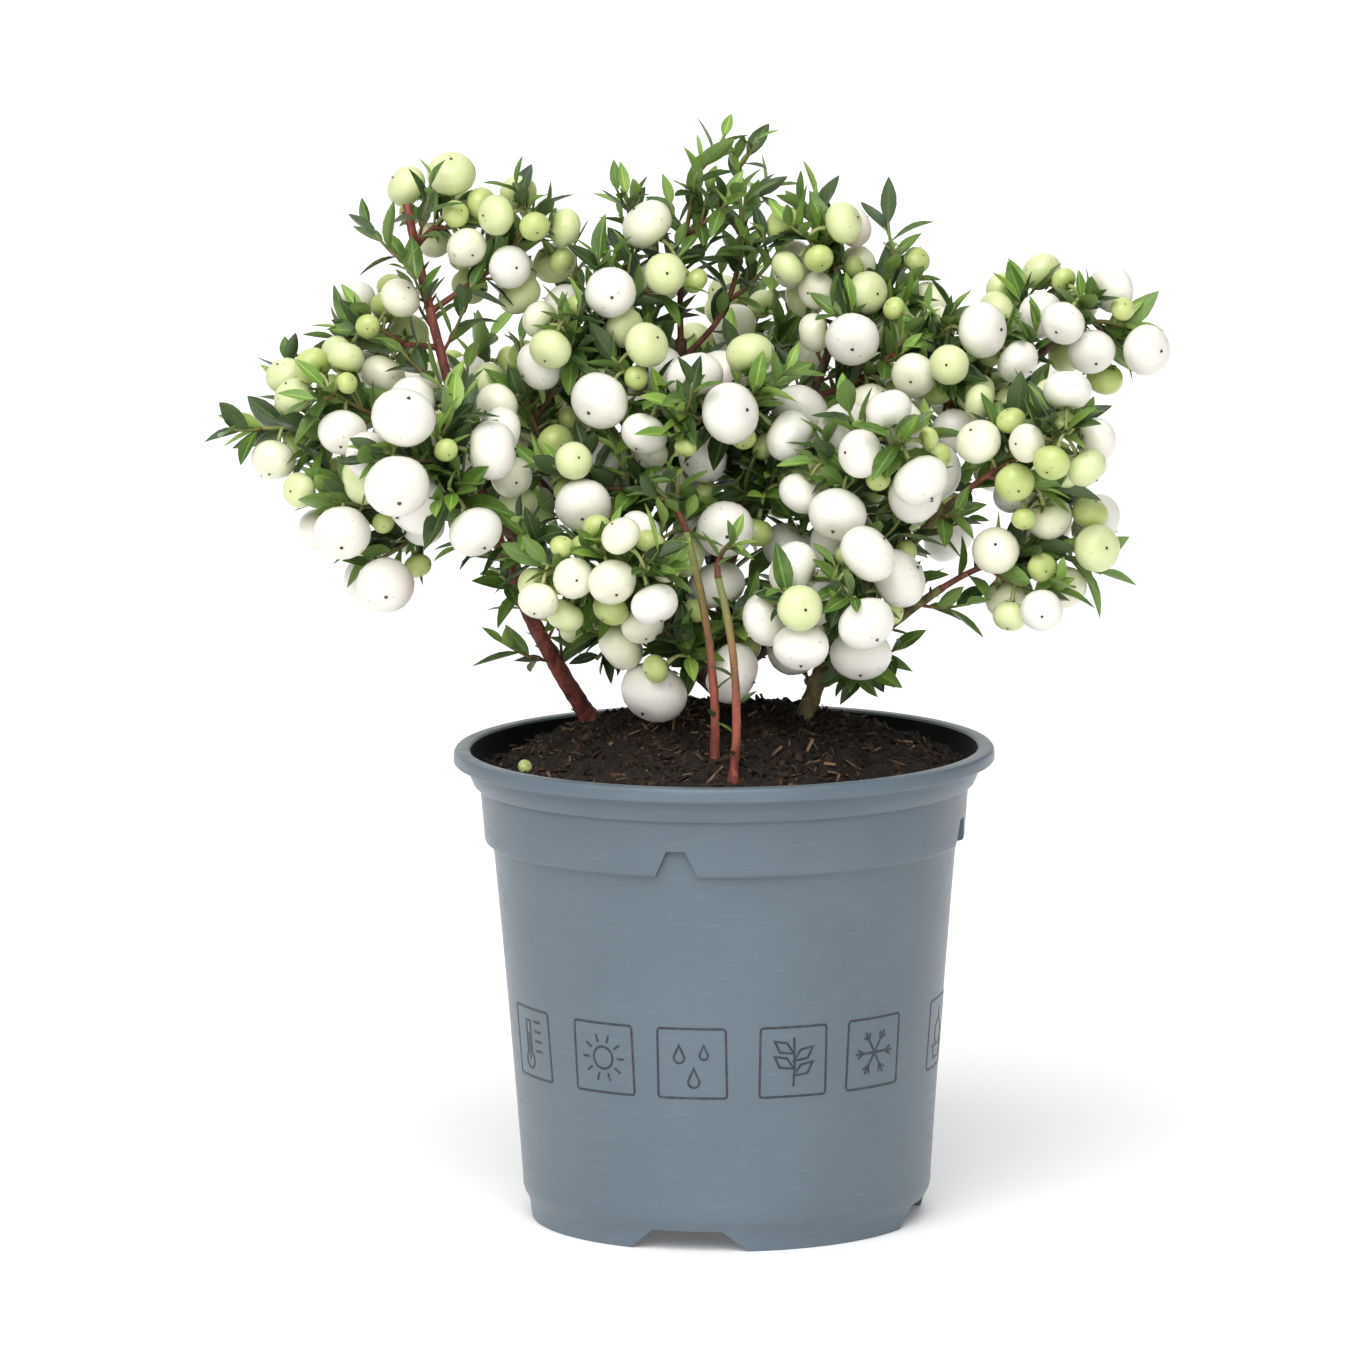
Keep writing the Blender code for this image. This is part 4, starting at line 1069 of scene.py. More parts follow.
SPRAYS = (
    Spray("spray_far_left", "bough_left_upper", 0.28, (-101, -8, 178), 2, 4, 10.0, 7, 15, 11),
    Spray("spray_left_upper", "bough_left_upper", 0.52, (-82, 4, 196), 2, 4, 9.5, 6, 14, 12),
    Spray("spray_left_front", "bough_left_front", 1.0, (-62, -42, 184), 3, 6, 12.5, 7, 15, 13),
    Spray("spray_left_low", "stem_left", 0.93, (-85, -24, 164), 3, 6, 11.0, 7, 15, 14),
    Spray("spray_top_left", "bough_left_upper", 0.86, (-58, 4, 226), 2, 5, 9.0, 6, 13, 15),
    Spray("spray_top_left_inner", "bough_left_upper", 0.64, (-37, 2, 221), 2, 5, 9.0, 6, 13, 16),
    Spray("spray_left_inner", "bough_left_inner", 1.0, (-23, -8, 217), 3, 5, 11.0, 6, 14, 17),
    Spray("spray_left_inner_low", "bough_left_inner", 0.9, (-44, -8, 198), 2, 4, 9.0, 6, 14, 18),
    Spray("spray_top", "bough_top", 1.0, (-5, 8, 232), 2, 0, 8.0, 10, 14, 19),
    Spray("spray_top_back", "bough_top", 0.9, (4, 14, 231), 2, 0, 8.0, 9, 14, 20),
    Spray("spray_top_shoot_left", "bough_top", 0.7, (-19, 14, 220), 1, 0, 8.0, 7, 14, 21),
    Spray("spray_top_right", "bough_top_right", 1.0, (20, 6, 221), 2, 4, 9.0, 6, 14, 22),
    Spray("spray_top_right_outer", "bough_top_right", 0.93, (38, 10, 212), 2, 4, 9.0, 6, 14, 23),
    Spray("spray_right_upper", "bough_top_right", 0.72, (45, -6, 203), 2, 5, 10.0, 6, 14, 24),
    Spray("spray_right_upper_outer", "bough_right", 0.62, (60, -8, 200), 2, 5, 11.0, 6, 14, 25),
    Spray("spray_far_right", "bough_right", 1.0, (89, -2, 199), 2, 4, 10.0, 6, 14, 26),
    Spray("spray_far_right_top", "bough_right", 0.9, (76, 6, 205), 1, 3, 9.5, 4, 14, 27),
    Spray("spray_right_middle", "bough_right_middle", 1.0, (78, -26, 179), 3, 6, 9.5, 7, 15, 28),
    Spray("spray_right_inner", "bough_right_middle", 0.62, (29, -40, 182), 3, 6, 11.5, 6, 14, 29),
    Spray("spray_centre", "bough_top", 0.12, (8, -30, 190), 2, 4, 12.5, 6, 15, 30),
    Spray("spray_centre_left", "bough_top", 0.35, (-14, -30, 188), 2, 4, 11.5, 6, 14, 31),
    Spray("spray_right_low", "bough_right_low", 1.0, (80, -18, 152), 2, 5, 11.0, 6, 15, 32),
    Spray("spray_front_right", "bough_right_low", 0.45, (24, -50, 150), 2, 4, 13.0, 6, 14, 33),
    Spray("spray_front_left", "bough_left_front", 0.4, (-28, -46, 157), 3, 6, 9.5, 6, 14, 34),
    Spray("spray_front_shoot", "stem_front_left", 1.0, (-15, -33, 168), 1, 0, 8.0, 5, 11, 35),
    Spray("spray_front_shoot_low", "stem_front_right", 1.0, (3, -43, 158), 0, 0, 8.0, 4, 11, 36),
    Spray("spray_left_behind", "bough_back_left", 0.8, (-40, 26, 184), 2, 4, 9.0, 5, 14, 37),
    Spray("spray_back_left", "bough_back_left", 1.0, (-77, 44, 176), 2, 4, 10.0, 7, 15, 38),
    Spray("spray_back_left_low", "bough_back_left", 0.86, (-48, 68, 167), 2, 3, 10.0, 6, 15, 39),
    Spray("spray_back", "bough_back", 1.0, (-12, 79, 168), 2, 4, 10.5, 7, 15, 40),
    Spray("spray_back_upper", "bough_back", 0.85, (6, 54, 203), 3, 4, 10.0, 7, 14, 41),
    Spray("spray_back_right", "bough_back_right", 1.0, (76, 40, 173), 2, 4, 10.0, 7, 15, 42),
    Spray("spray_back_right_low", "bough_back_right", 0.86, (38, 71, 164), 2, 4, 10.5, 6, 15, 43),
    Spray("spray_back_right_upper", "bough_back_right", 0.7, (48, 42, 194), 2, 4, 9.5, 6, 14, 44),
)


LOW_SPRAYS = (
    Spray("low_left", "bough_left_front", 0.16, (-17, -26, 140), 1, 2, 13.0, 5, 14, 51),
    Spray("low_middle", "stem_centre", 0.5, (1, -27, 139), 1, 2, 13.0, 5, 14, 52),
    Spray("low_right", "bough_right_low", 0.3, (32, -22, 128), 1, 0, 9.0, 5, 13, 53),
    Spray("low_right_back", "bough_right", 0.12, (27, 10, 131), 2, 0, 9.0, 5, 13, 54),
    Spray("low_left_back", "bough_back_left", 0.3, (-31, 12, 131), 2, 0, 9.0, 5, 14, 55),
    Spray("low_left_outer", "stem_left", 0.6, (-30, -8, 141), 1, 1, 8.0, 5, 14, 56),
    Spray("inner_right", "bough_right", 0.36, (24, -14, 172), 2, 3, 11.0, 5, 14, 57),
    Spray("inner_middle", "bough_top_right", 0.4, (9, -22, 164), 2, 3, 11.5, 5, 14, 58),
    Spray("inner_left", "bough_left_inner", 0.5, (-25, -22, 178), 2, 3, 11.5, 5, 14, 59),
    Spray("inner_back", "bough_back", 0.4, (14, 30, 176), 3, 3, 9.0, 5, 14, 60),
)
ALL_SPRAYS = SPRAYS + LOW_SPRAYS
END_TWIGS = {
    "spray_far_left": 2.5, "spray_top": 3.5, "spray_top_back": 4.0, "spray_top_shoot_left": 5.0,
    "spray_left_upper": 4.0, "spray_top_right": 5.0, "spray_top_right_outer": 4.0,
}


def main_shoot(spray):
    """The spray's stem: it leaves its limb and runs to the furthest tip."""
    tip = Vector(spray.tip)
    start, heading = spring(limbs[spray.limb], spray.along, tip, MAIN_RADIUS, SHOOT_TILT)
    points = headed(start, heading, tip, MAIN_STEPS)
    radii = tapered((MAIN_RADIUS, MAIN_RADIUS * 0.62), len(points))
    room.fill_path(spray.name, points, radii)
    return Limb(points, radii)


def side_shoots(spray, main):
    """Shorter shoots round the spray's stem, by the golden angle."""
    chance = random.Random(spray.seed)
    length = (main.points[-1] - main.points[0]).length
    shoots = []
    turn = chance.uniform(0, math.tau)
    for index in range(spray.side_shoots):
        along = 0.22 + 0.56 * (index + 0.5) / spray.side_shoots
        middle, run, _ = main.at(along)
        size = min(30.0, length * chance.uniform(0.36, 0.5) + 3.0)
        for _ in range(BERRY_TRIES):
            turn += GOLDEN_ANGLE
            side = across(UP, run)
            out = side * math.cos(turn) + run.cross(side) * math.sin(turn)
            end = middle + (run * chance.uniform(0.6, 0.9) + out + UP * 0.2).normalized() * size
            points = headed(middle, (run + out * 1.4).normalized(), end, SIDE_STEPS)
            radii = tapered((SIDE_RADIUS, SIDE_RADIUS * 0.7), len(points))
            if room.free(points[1], points[2], SIDE_RADIUS, without=(spray.name,)):
                room.fill_path(spray.name, points, radii)
                shoots.append(Limb(points, radii))
                break
    return shoots


crown = {spray.name: [main_shoot(spray)] for spray in ALL_SPRAYS}
for spray in ALL_SPRAYS:
    crown[spray.name] += side_shoots(spray, crown[spray.name][0])


# The berries.
# Firm round berries, a little flat, dimpled where the stalk joins under a green star of sepals
# and with a dark navel at the far end: white, cream and pale green, and a few flushed pink.
STALK_RADIUS = 0.75
STALK_LENGTH = (2.6, 5.6)
BERRY_SIDES = 20
BERRY_RINGS = 12
STALK_RADII = (0.42, 0.4, 0.62)
STALK_SIDES = 6
STALK_STEP = 0.9
STALK_ARCH = 0.16
DIMPLE = 0.74
SECOND_SIZE = 0.95
THIRD_SIZE = 0.8
UNRIPE_COUNT = 3
UNRIPE_WIDTH = 5.6
FALLEN_PLACE = (-43.8, -18.0)
FALLEN_RADIUS = 1.6
RIPE_WIDTH = 10.6
RIPE_SPREAD = 0.3
BERRY_COLOURS = (
    ("berries_white", (0.88, 0.85, 0.79), (0.84, 0.83, 0.68), 0.95),
    ("berries_cream", (0.85, 0.83, 0.68), (0.74, 0.77, 0.44), 0.84),
    ("berries_pale_green", (0.70, 0.75, 0.42), (0.55, 0.65, 0.24), 0.68),
    ("berries_lime", (0.56, 0.64, 0.24), (0.38, 0.50, 0.11), 0.0),
)
BLUSH_COLOUR = (0.74, 0.26, 0.28)


@dataclass
class Berry:
    root: Vector
    middle: Vector
    radius: float
    look: str


def shared_out(count, shoots):
    """How many of the count each shoot bears, by its length."""
    lengths = [(shoot.points[-1] - shoot.points[0]).length for shoot in shoots]
    left, total, shares = count, sum(lengths), []
    for length in lengths:
        share = min(left, round(left * length / total))
        shares.append(share)
        left -= share
        total -= length
    return shares


def berries_on(spray, shoots, count, size, seed, look=None):
    """Berries set along the shoots, each nodding on its own stalk."""
    chance = random.Random(seed)
    deal = random.Random(seed * 7 + 1)
    berries = []
    for shoot, number in zip(shoots, shared_out(count, shoots)):
        turn = chance.uniform(0, math.tau)
        for index in range(number):
            radius = size * chance.uniform(0.8, 1.15) / 2
            for attempt in range(BERRY_TRIES):
                along = 0.3 + 0.68 * (index + chance.uniform(0.2, 0.9)) / number
                middle, run, _ = shoot.at(along)
                turn += GOLDEN_ANGLE
                side = across(UP, run)
                out = side * math.cos(turn) + run.cross(side) * math.sin(turn)
                aim = (out + run * 0.3 - UP * 0.35).normalized()
                centre = middle + aim * (chance.uniform(*STALK_LENGTH) + radius)
                knot = centre - aim * radius
                if room.free(centre, centre, radius) and room.free(
                    middle.lerp(knot, 0.4), knot, STALK_RADIUS, without=(spray.name,)
                ):
                    room.fill(spray.name, centre, centre, radius)
                    room.fill(spray.name, middle, knot, STALK_RADIUS)
                    drawn = deal.random()
                    ripe = radius * 2 / RIPE_WIDTH + (drawn - 0.5) * RIPE_SPREAD
                    name = look or next(row[0] for row in BERRY_COLOURS if ripe >= row[3])
                    berries.append(Berry(middle, centre, radius, name))
                    break
    return berries


def berry_template():
    """One berry of radius 1 along +Z, from its stalk to its navel, with the UV's height along it."""
    vertices, uvs, faces = [], [], []
    for ring in range(BERRY_RINGS + 1):
        lean = math.pi * ring / BERRY_RINGS
        height = -0.86 * math.cos(lean)
        height += 0.17 * math.exp(-((lean / 0.36) ** 2))
        height -= 0.09 * math.exp(-(((math.pi - lean) / 0.26) ** 2))
        wide = 1.06 * math.sin(lean) ** 0.94
        if ring in (0, BERRY_RINGS):
            vertices.append((0.0, 0.0, height))
            uvs.append((0.5, ring / BERRY_RINGS))
            continue
        for corner in range(BERRY_SIDES):
            angle = math.tau * corner / BERRY_SIDES
            reach = wide * (1 + 0.018 * math.cos(5 * angle) * (1 + math.cos(lean)) / 2)
            vertices.append((reach * math.cos(angle), reach * math.sin(angle), height))
            uvs.append((corner / BERRY_SIDES, ring / BERRY_RINGS))
    last = len(vertices) - 1
    for corner in range(BERRY_SIDES):
        after = (corner + 1) % BERRY_SIDES
        faces.append((0, 1 + after, 1 + corner))
        low = 1 + (BERRY_RINGS - 2) * BERRY_SIDES
        faces.append((low + corner, low + after, last))
        for ring in range(BERRY_RINGS - 2):
            low = 1 + ring * BERRY_SIDES
            faces.append((low + corner, low + after, low + BERRY_SIDES + after, low + BERRY_SIDES + corner))
    return vertices, faces, uvs


def sepal_template():
    """The green star at the stalk: five pointed sepals that lie on the berry's shoulder."""
    vertices, faces, uvs = [(0.0, 0.0, -0.78)], [], [(0.5, 0.0)]
    for lobe in range(5):
        angle = math.tau * lobe / 5
        first = len(vertices)
        for turn, reach, height in (
            (-0.42, 0.2, -0.80), (0.42, 0.2, -0.80),
            (-0.3, 0.34, -0.845), (0.3, 0.34, -0.845), (0.0, 0.6, -0.80),
        ):
            vertices.append((reach * math.cos(angle + turn), reach * math.sin(angle + turn), height))
            uvs.append((0.5, reach))
        corners = ((first, first + 1, first + 3, first + 2), (first + 2, first + 3, first + 4))
        faces += [(0, first + 1, first), *corners]
    return vertices, faces, uvs


def navel_template():
    """The dark navel: a low cone with the dry stub of the style."""
    turns = [k * math.tau / 7 for k in range(7)]
    vertices = [(0.075 * math.cos(turn), 0.075 * math.sin(turn), 0.79) for turn in turns]
    vertices += [(0.03 * math.cos(turn), 0.03 * math.sin(turn), 0.83) for turn in turns]
    vertices.append((0.0, 0.0, 0.9))
    faces = []
    for k in range(7):
        after = (k + 1) % 7
        faces += [(k, after, 7 + after, 7 + k), (7 + k, 7 + after, 14)]
    return vertices, faces, [(0.5, 0.5)] * len(vertices)


def set_down(heap, template, origin, run, side, scale):
    """A copy of a template with its +Z along the run."""
    vertices, faces, uvs = template
    other = run.cross(side)
    turn = np.array([side, other, run])
    placed = np.array(vertices) @ turn * scale + np.array(origin)
    heap.add(placed.tolist(), faces, uvs)


def berry_material(name, colour, shoulder):
    """Waxy skin: greener at the shoulder, faintly clouded, with a few brown specks."""
    material, nodes, shader = blank_material(name)
    up = nodes.add("ShaderNodeSeparateXYZ", {0: nodes.add("ShaderNodeTexCoord").outputs["UV"]})
    height = nodes.add("ShaderNodeMapRange", {"Value": up.outputs["Y"], "From Min": 0.05, "From Max": 0.5})
    base = nodes.mixed(height.outputs["Result"], shoulder, colour)
    clouds = patches(nodes, 210.0, 0.35, 0.75, detail=3.0)
    share = nodes.add("ShaderNodeMath", {0: clouds, 1: 0.3}, operation="MULTIPLY").outputs[0]
    base = nodes.mixed(share, base, shoulder)
    specks = patches(nodes, 760.0, 0.7, 0.74, detail=2.0)
    share = nodes.add("ShaderNodeMath", {0: specks, 1: 0.55}, operation="MULTIPLY").outputs[0]
    base = nodes.mixed(share, base, tuple(c * 0.45 for c in shoulder))
    if name == "berries_white":
        blush = patches(nodes, 26.0, 0.67, 0.8, detail=1.0)
        share = nodes.add("ShaderNodeMath", {0: blush, 1: 0.5}, operation="MULTIPLY").outputs[0]
        base = nodes.mixed(share, base, BLUSH_COLOUR)
    nodes.tree.links.new(base, shader.inputs["Base Color"])
    shader.inputs["Roughness"].default_value = 0.3
    shader.inputs["Subsurface Weight"].default_value = 0.35
    shader.inputs["Subsurface Radius"].default_value = (1.0, 0.8, 0.45)
    shader.inputs["Subsurface Scale"].default_value = 0.002
    shader.inputs["Coat Weight"].default_value = 0.15
    shader.inputs["Coat Roughness"].default_value = 0.2
    relief(nodes, shader, patches(nodes, 1200.0, 0.2, 0.8), 0.06, 0.0002)
    return material


def plain_material(name, dark, light, rough, scale=500.0):
    material, nodes, shader = blank_material(name)
    base = nodes.mixed(patches(nodes, scale, 0.35, 0.65), dark, light)
    nodes.tree.links.new(base, shader.inputs["Base Color"])
    shader.inputs["Roughness"].default_value = rough
    return material


berries = {}
for spray in ALL_SPRAYS:
    berries[spray.name] = berries_on(
        spray, crown[spray.name], spray.berries, spray.berry, spray.seed + 100
    )
for spray in ALL_SPRAYS:
    if spray.berries:
        berries[spray.name] += berries_on(
            spray, crown[spray.name], spray.berries, spray.berry * SECOND_SIZE, spray.seed + 500
        )
        berries[spray.name] += berries_on(
            spray, crown[spray.name], spray.berries, spray.berry * THIRD_SIZE, spray.seed + 600
        )
        berries[spray.name] += berries_on(
            spray, crown[spray.name], UNRIPE_COUNT, UNRIPE_WIDTH, spray.seed + 700, "berries_lime"
        )
fallen_place = Vector((*FALLEN_PLACE, crumbly(*FALLEN_PLACE) + 1.3))
fallen = Berry(None, fallen_place, FALLEN_RADIUS, "berries_lime")

heaps = {row[0]: Heap() for row in BERRY_COLOURS}
sepals, navels, stalks = Heap(), Heap(), Heap()
berry_shape, sepal_shape, navel_shape = berry_template(), sepal_template(), navel_template()
spin = random.Random(4)
for berry in [berry for spray in ALL_SPRAYS for berry in berries[spray.name]] + [fallen]:
    run = (berry.middle - berry.root).normalized() if berry.root else Vector((0.5, -0.6, 0.4)).normalized()
    side = Matrix.Rotation(spin.uniform(0, math.tau), 3, run) @ across(UP, run)
    set_down(heaps[berry.look], berry_shape, berry.middle, run, side, berry.radius)
    set_down(sepals, sepal_shape, berry.middle, run, side, berry.radius * 1.02)
    set_down(navels, navel_shape, berry.middle, run, side, berry.radius)
    if berry.root:
        knot = berry.middle - run * (berry.radius * DIMPLE)
        bend = berry.root.lerp(knot, 0.45) + UP * ((knot - berry.root).length * STALK_ARCH)
        line, sizes = smooth_line([berry.root, bend, knot], STALK_RADII, STALK_STEP)
        add_tube(stalks, line, sizes, STALK_SIDES)
for name, colour, shoulder, _ in BERRY_COLOURS:
    new_piece(name, heaps[name].mesh(name), [berry_material(name, colour, shoulder)], "foliage")
new_piece("berry_sepals", sepals.mesh("berry_sepals"), [
    plain_material("sepal_green", (0.10, 0.16, 0.03), (0.24, 0.30, 0.08), 0.5)
], "foliage")
new_piece("berry_navels", navels.mesh("berry_navels"), [
    plain_material("navel_brown", (0.03, 0.018, 0.01), (0.10, 0.055, 0.03), 0.7)
], "foliage")
new_piece("berry_stalks", stalks.mesh("berry_stalks"), [
    plain_material("stalk_green", (0.26, 0.32, 0.09), (0.44, 0.46, 0.18), 0.5)
], "foliage")


# The twigs and leaves.
# Small leathery leaves with sharp tips spiral up every shoot and twig, on very short stalks:
# dark and glossy low down, fresh green higher up, and bright young ones at the growing tips.
LEAF_SPACING = 2.3
LIMB_TWIG_SPACING = 8.0
LIMB_TWIG_LENGTH = (10.0, 20.0)
SPRAY_TWIG_SPACING = 10.0
SPRAY_TWIG_LENGTH = (7.0, 13.0)
STEM_LEAF = 7.0
STEM_LEAF_SPACING = 5.0
LEAF_STATIONS = (0.0, 0.05, 0.18, 0.36, 0.56, 0.76, 0.91, 1.0)
LEAF_LANES = (-1.0, -0.5, 0.0, 0.5, 1.0)
LEAF_TRIES = 4
LEAF_ANGLES = (36, 62)
LEAF_SIZES = (0.62, 0.95)
LEAF_WIDTHS = (0.34, 0.43)
LEAF_CURL = (-0.06, 0.2)
LEAF_TWIST = (-0.4, 0.4)
LEAF_REACH = 0.8
YOUNG_FROM = 0.6
STEEPER = 0.45
SMALLER = 0.36
YOUTH, TOP_YOUTH, STEM_YOUTH = 0.5, 0.75, 0.9
TOP_LEAF_SIZE = 0.85
LIMB_LEAF = 12.5
FIRST_STEM_LEAF = 0.18
FIRST_TWIG, FIRST_BOUGH_TWIG, FIRST_STEM_TWIG, LAST_TWIG = 0.2, 0.12, 0.3, 0.92
SKIN_STEP = 1.5
SKIN_SIDES = 7
MAIN_GREEN, SIDE_GREEN, TWIG_GREEN, LIMB_TWIG_GREEN = 0.0, 0.35, 0.6, 0.3
# Each look: its darker and lighter green, its roughness, and the draw above which a leaf has it.
LEAF_LOOKS = {
    "leaves_fresh": ((0.15, 0.29, 0.04), (0.28, 0.43, 0.08), 0.34, 0.98),
    "leaves_green": ((0.055, 0.12, 0.02), (0.145, 0.25, 0.042), 0.3, 0.45),
    "leaves_dark": ((0.02, 0.045, 0.012), (0.055, 0.105, 0.022), 0.27, -1.0),
}


def twigs_on(owner, shoots, seed, spacing, lengths, first=FIRST_TWIG):
    """Short twigs along shoots or boughs, which carry the finest leaves."""
    chance = random.Random(seed)
    twigs = []
    for shoot in shoots:
        length = (shoot.points[-1] - shoot.points[0]).length
        count = max(1, round(length / spacing))
        turn = chance.uniform(0, math.tau)
        for index in range(count):
            for _ in range(LEAF_TRIES):
                along = first + (LAST_TWIG - first) * (index + chance.uniform(0.2, 0.8)) / count
                middle, run, _ = shoot.at(along)
                turn += GOLDEN_ANGLE
                side = across(UP, run)
                out = side * math.cos(turn) + run.cross(side) * math.sin(turn)
                size = min(length * 0.45, chance.uniform(*lengths))
                end = middle + (run * 0.9 + out * 0.9 + UP * 0.25).normalized() * size
                points = headed(middle, (run + out * 1.2).normalized(), end, SIDE_STEPS)
                if room.free(points[1], points[2], TWIG_RADIUS, beside=0.1, without=(owner,)) and (
                    berry_room.free(points[1], points[2], TWIG_RADIUS, beside=0.1)
                ):
                    twigs.append(Limb(points, tapered((TWIG_RADIUS, TWIG_RADIUS * 0.7), len(points))))
                    break
    return twigs


def add_leaf(heap, root, heading, face, length, width, curl, twist):
    """A pointed blade, folded along its midrib, curled and a little twisted."""
    vertices, uvs, faces = [], [], []
    side = heading.cross(face)
    for station in LEAF_STATIONS:
        half = width / 2 * max(0.06 * (1 - station), math.sin(math.pi * station ** 0.82) ** 0.9)
        turn = twist * station
        lane_side = side * math.cos(turn) + face * math.sin(turn)
        lane_face = face * math.cos(turn) - side * math.sin(turn)
        droop = curl * station * station * length
        middle = root + heading * (station * length * (1 - 0.3 * abs(curl) * station)) - face * droop
        for lane in LEAF_LANES:
            rise = abs(lane) ** 1.3 * half * 0.42
            vertices.append(tuple(middle + lane_side * (lane * half) + lane_face * rise))
            uvs.append((0.5 + lane / 2, station))
    lanes = len(LEAF_LANES)
    for row in range(len(LEAF_STATIONS) - 1):
        for lane in range(lanes - 1):
            low = row * lanes + lane
            faces.append((low, low + 1, low + lanes + 1, low + lanes))
    heap.add(vertices, faces, uvs)


def leaf_material(name, dark, light, rough):
    """A leathery blade: pale midrib, darker between faint side veins, paler underneath."""
    material, nodes, shader = blank_material(name)
    place = nodes.add("ShaderNodeSeparateXYZ", {0: nodes.add("ShaderNodeTexCoord").outputs["UV"]})
    off = nodes.add("ShaderNodeMath", {0: place.outputs["X"], 1: 0.5}, operation="SUBTRACT")
    off = nodes.add("ShaderNodeMath", {0: off.outputs[0]}, operation="ABSOLUTE")
    rib = nodes.add("ShaderNodeMapRange", {
        "Value": off.outputs[0], "From Min": 0.025, "From Max": 0.075, "To Min": 1.0, "To Max": 0.0,
    }).outputs["Result"]
    slant = nodes.add(
        "ShaderNodeMath", {0: off.outputs[0], 1: 1.1, 2: place.outputs["Y"]}, operation="MULTIPLY_ADD"
    )
    veins = nodes.add("ShaderNodeMath", {0: slant.outputs[0], 1: 55.0}, operation="MULTIPLY")
    veins = nodes.add("ShaderNodeMath", {0: veins.outputs[0]}, operation="SINE")
    clouds = patches(nodes, 150.0, 0.3, 0.7, detail=3.0)
    base = nodes.mixed(clouds, dark, light)
    share = nodes.add("ShaderNodeMath", {0: rib, 1: 0.5}, operation="MULTIPLY").outputs[0]
    base = nodes.mixed(share, base, tuple(min(1.0, c * 1.9 + 0.03) for c in light))
    under = nodes.add("ShaderNodeNewGeometry").outputs["Backfacing"]
    share = nodes.add("ShaderNodeMath", {0: under, 1: 0.6}, operation="MULTIPLY").outputs[0]
    base = nodes.mixed(share, base, tuple(c * 1.3 + 0.06 for c in light))
    nodes.tree.links.new(base, shader.inputs["Base Color"])
    shader.inputs["Roughness"].default_value = rough
    height = nodes.add("ShaderNodeMath", {0: veins.outputs[0], 1: 0.25, 2: rib}, operation="MULTIPLY_ADD")
    relief(nodes, shader, height.outputs[0], 0.35, 0.0003)
    return material


berry_room = Room()
for spray in ALL_SPRAYS:
    for berry in berries[spray.name]:
        berry_room.fill("berries", berry.middle, berry.middle, berry.radius)
for name, limb in limbs.items():
    berry_room.fill_path(name, limb.points, limb.radii)

leaf_heaps = {name: Heap() for name in LEAF_LOOKS}
shoot_skin = Heap()


def leaves_along(shoot, leaf, spacing, chance, first=0.1, youth=YOUTH):
    """Leaves in a spiral up a shoot; smaller, steeper and brighter towards its tip."""
    length = sum((b - a).length for a, b in zip(shoot.points, shoot.points[1:]))
    count = max(4, round(length * (1 - first) / spacing))
    turn = chance.uniform(0, math.tau)
    for index in range(count):
        along = first + (1 - first) * (index + 0.6) / count
        young = max(0.0, (along - YOUNG_FROM) / (1 - YOUNG_FROM))
        for _ in range(LEAF_TRIES):
            middle, run, thick = shoot.at(along)
            turn += GOLDEN_ANGLE
            side = across(UP, run)
            out = side * math.cos(turn) + run.cross(side) * math.sin(turn)
            angle = math.radians(chance.uniform(*LEAF_ANGLES) * (1 - STEEPER * young))
            heading = (run * math.cos(angle) + out * math.sin(angle)).normalized()
            face = across(run + UP * 0.7, heading)
            size = leaf * chance.uniform(*LEAF_SIZES) * (1 - SMALLER * young)
            root = middle + out * (thick * 0.6)
            near, far = root + heading * (size * 0.3), root + heading * (size * 0.9)
            if berry_room.free(near, far, LEAF_REACH, beside=0.0):
                drawn = chance.random() + young * youth
                look = next(name for name, row in LEAF_LOOKS.items() if drawn > row[3])
                width, curl, twist = (chance.uniform(*span) for span in (LEAF_WIDTHS, LEAF_CURL, LEAF_TWIST))
                add_leaf(leaf_heaps[look], root, heading, face, size, size * width, curl, twist)
                break


def add_skin(points, radii, woody):
    """A shoot's skin; the UV starts at woody, where the colour turns from bark to green."""
    line, sizes = smooth_line(points, radii, SKIN_STEP)
    add_tube(shoot_skin, line, sizes, SKIN_SIDES, woody, 1.0)


for spray in ALL_SPRAYS:
    shoots = crown[spray.name]
    main = shoots[0]
    if spray.name in END_TWIGS:
        run = (main.points[-1] - main.points[-2]).normalized()
        main.points.append(main.points[-1] + run * END_TWIGS[spray.name])
        main.radii.append(main.radii[-1] * 0.6)
    twigs = twigs_on(spray.name, shoots, spray.seed + 300, SPRAY_TWIG_SPACING, SPRAY_TWIG_LENGTH)
    for shoot in shoots:
        shoot.radii = [radius * SHOOT_THINNESS for radius in shoot.radii]
    foot, _, thick = limbs[spray.limb].at(spray.along)
    add_skin([foot] + main.points, [min(MAIN_RADIUS * 0.9, thick)] + main.radii, MAIN_GREEN)
    for shoot in shoots[1:]:
        add_skin(shoot.points, shoot.radii, SIDE_GREEN)
    for twig in twigs:
        add_skin(twig.points, twig.radii, TWIG_GREEN)
    chance = random.Random(spray.seed + 400)
    top_shoot = spray.berries == 0 and spray not in LOW_SPRAYS
    leaf = spray.leaf * (TOP_LEAF_SIZE if top_shoot else 1.0)
    for shoot in shoots + twigs:
        leaves_along(shoot, leaf, LEAF_SPACING, chance, youth=TOP_YOUTH if top_shoot else YOUTH)
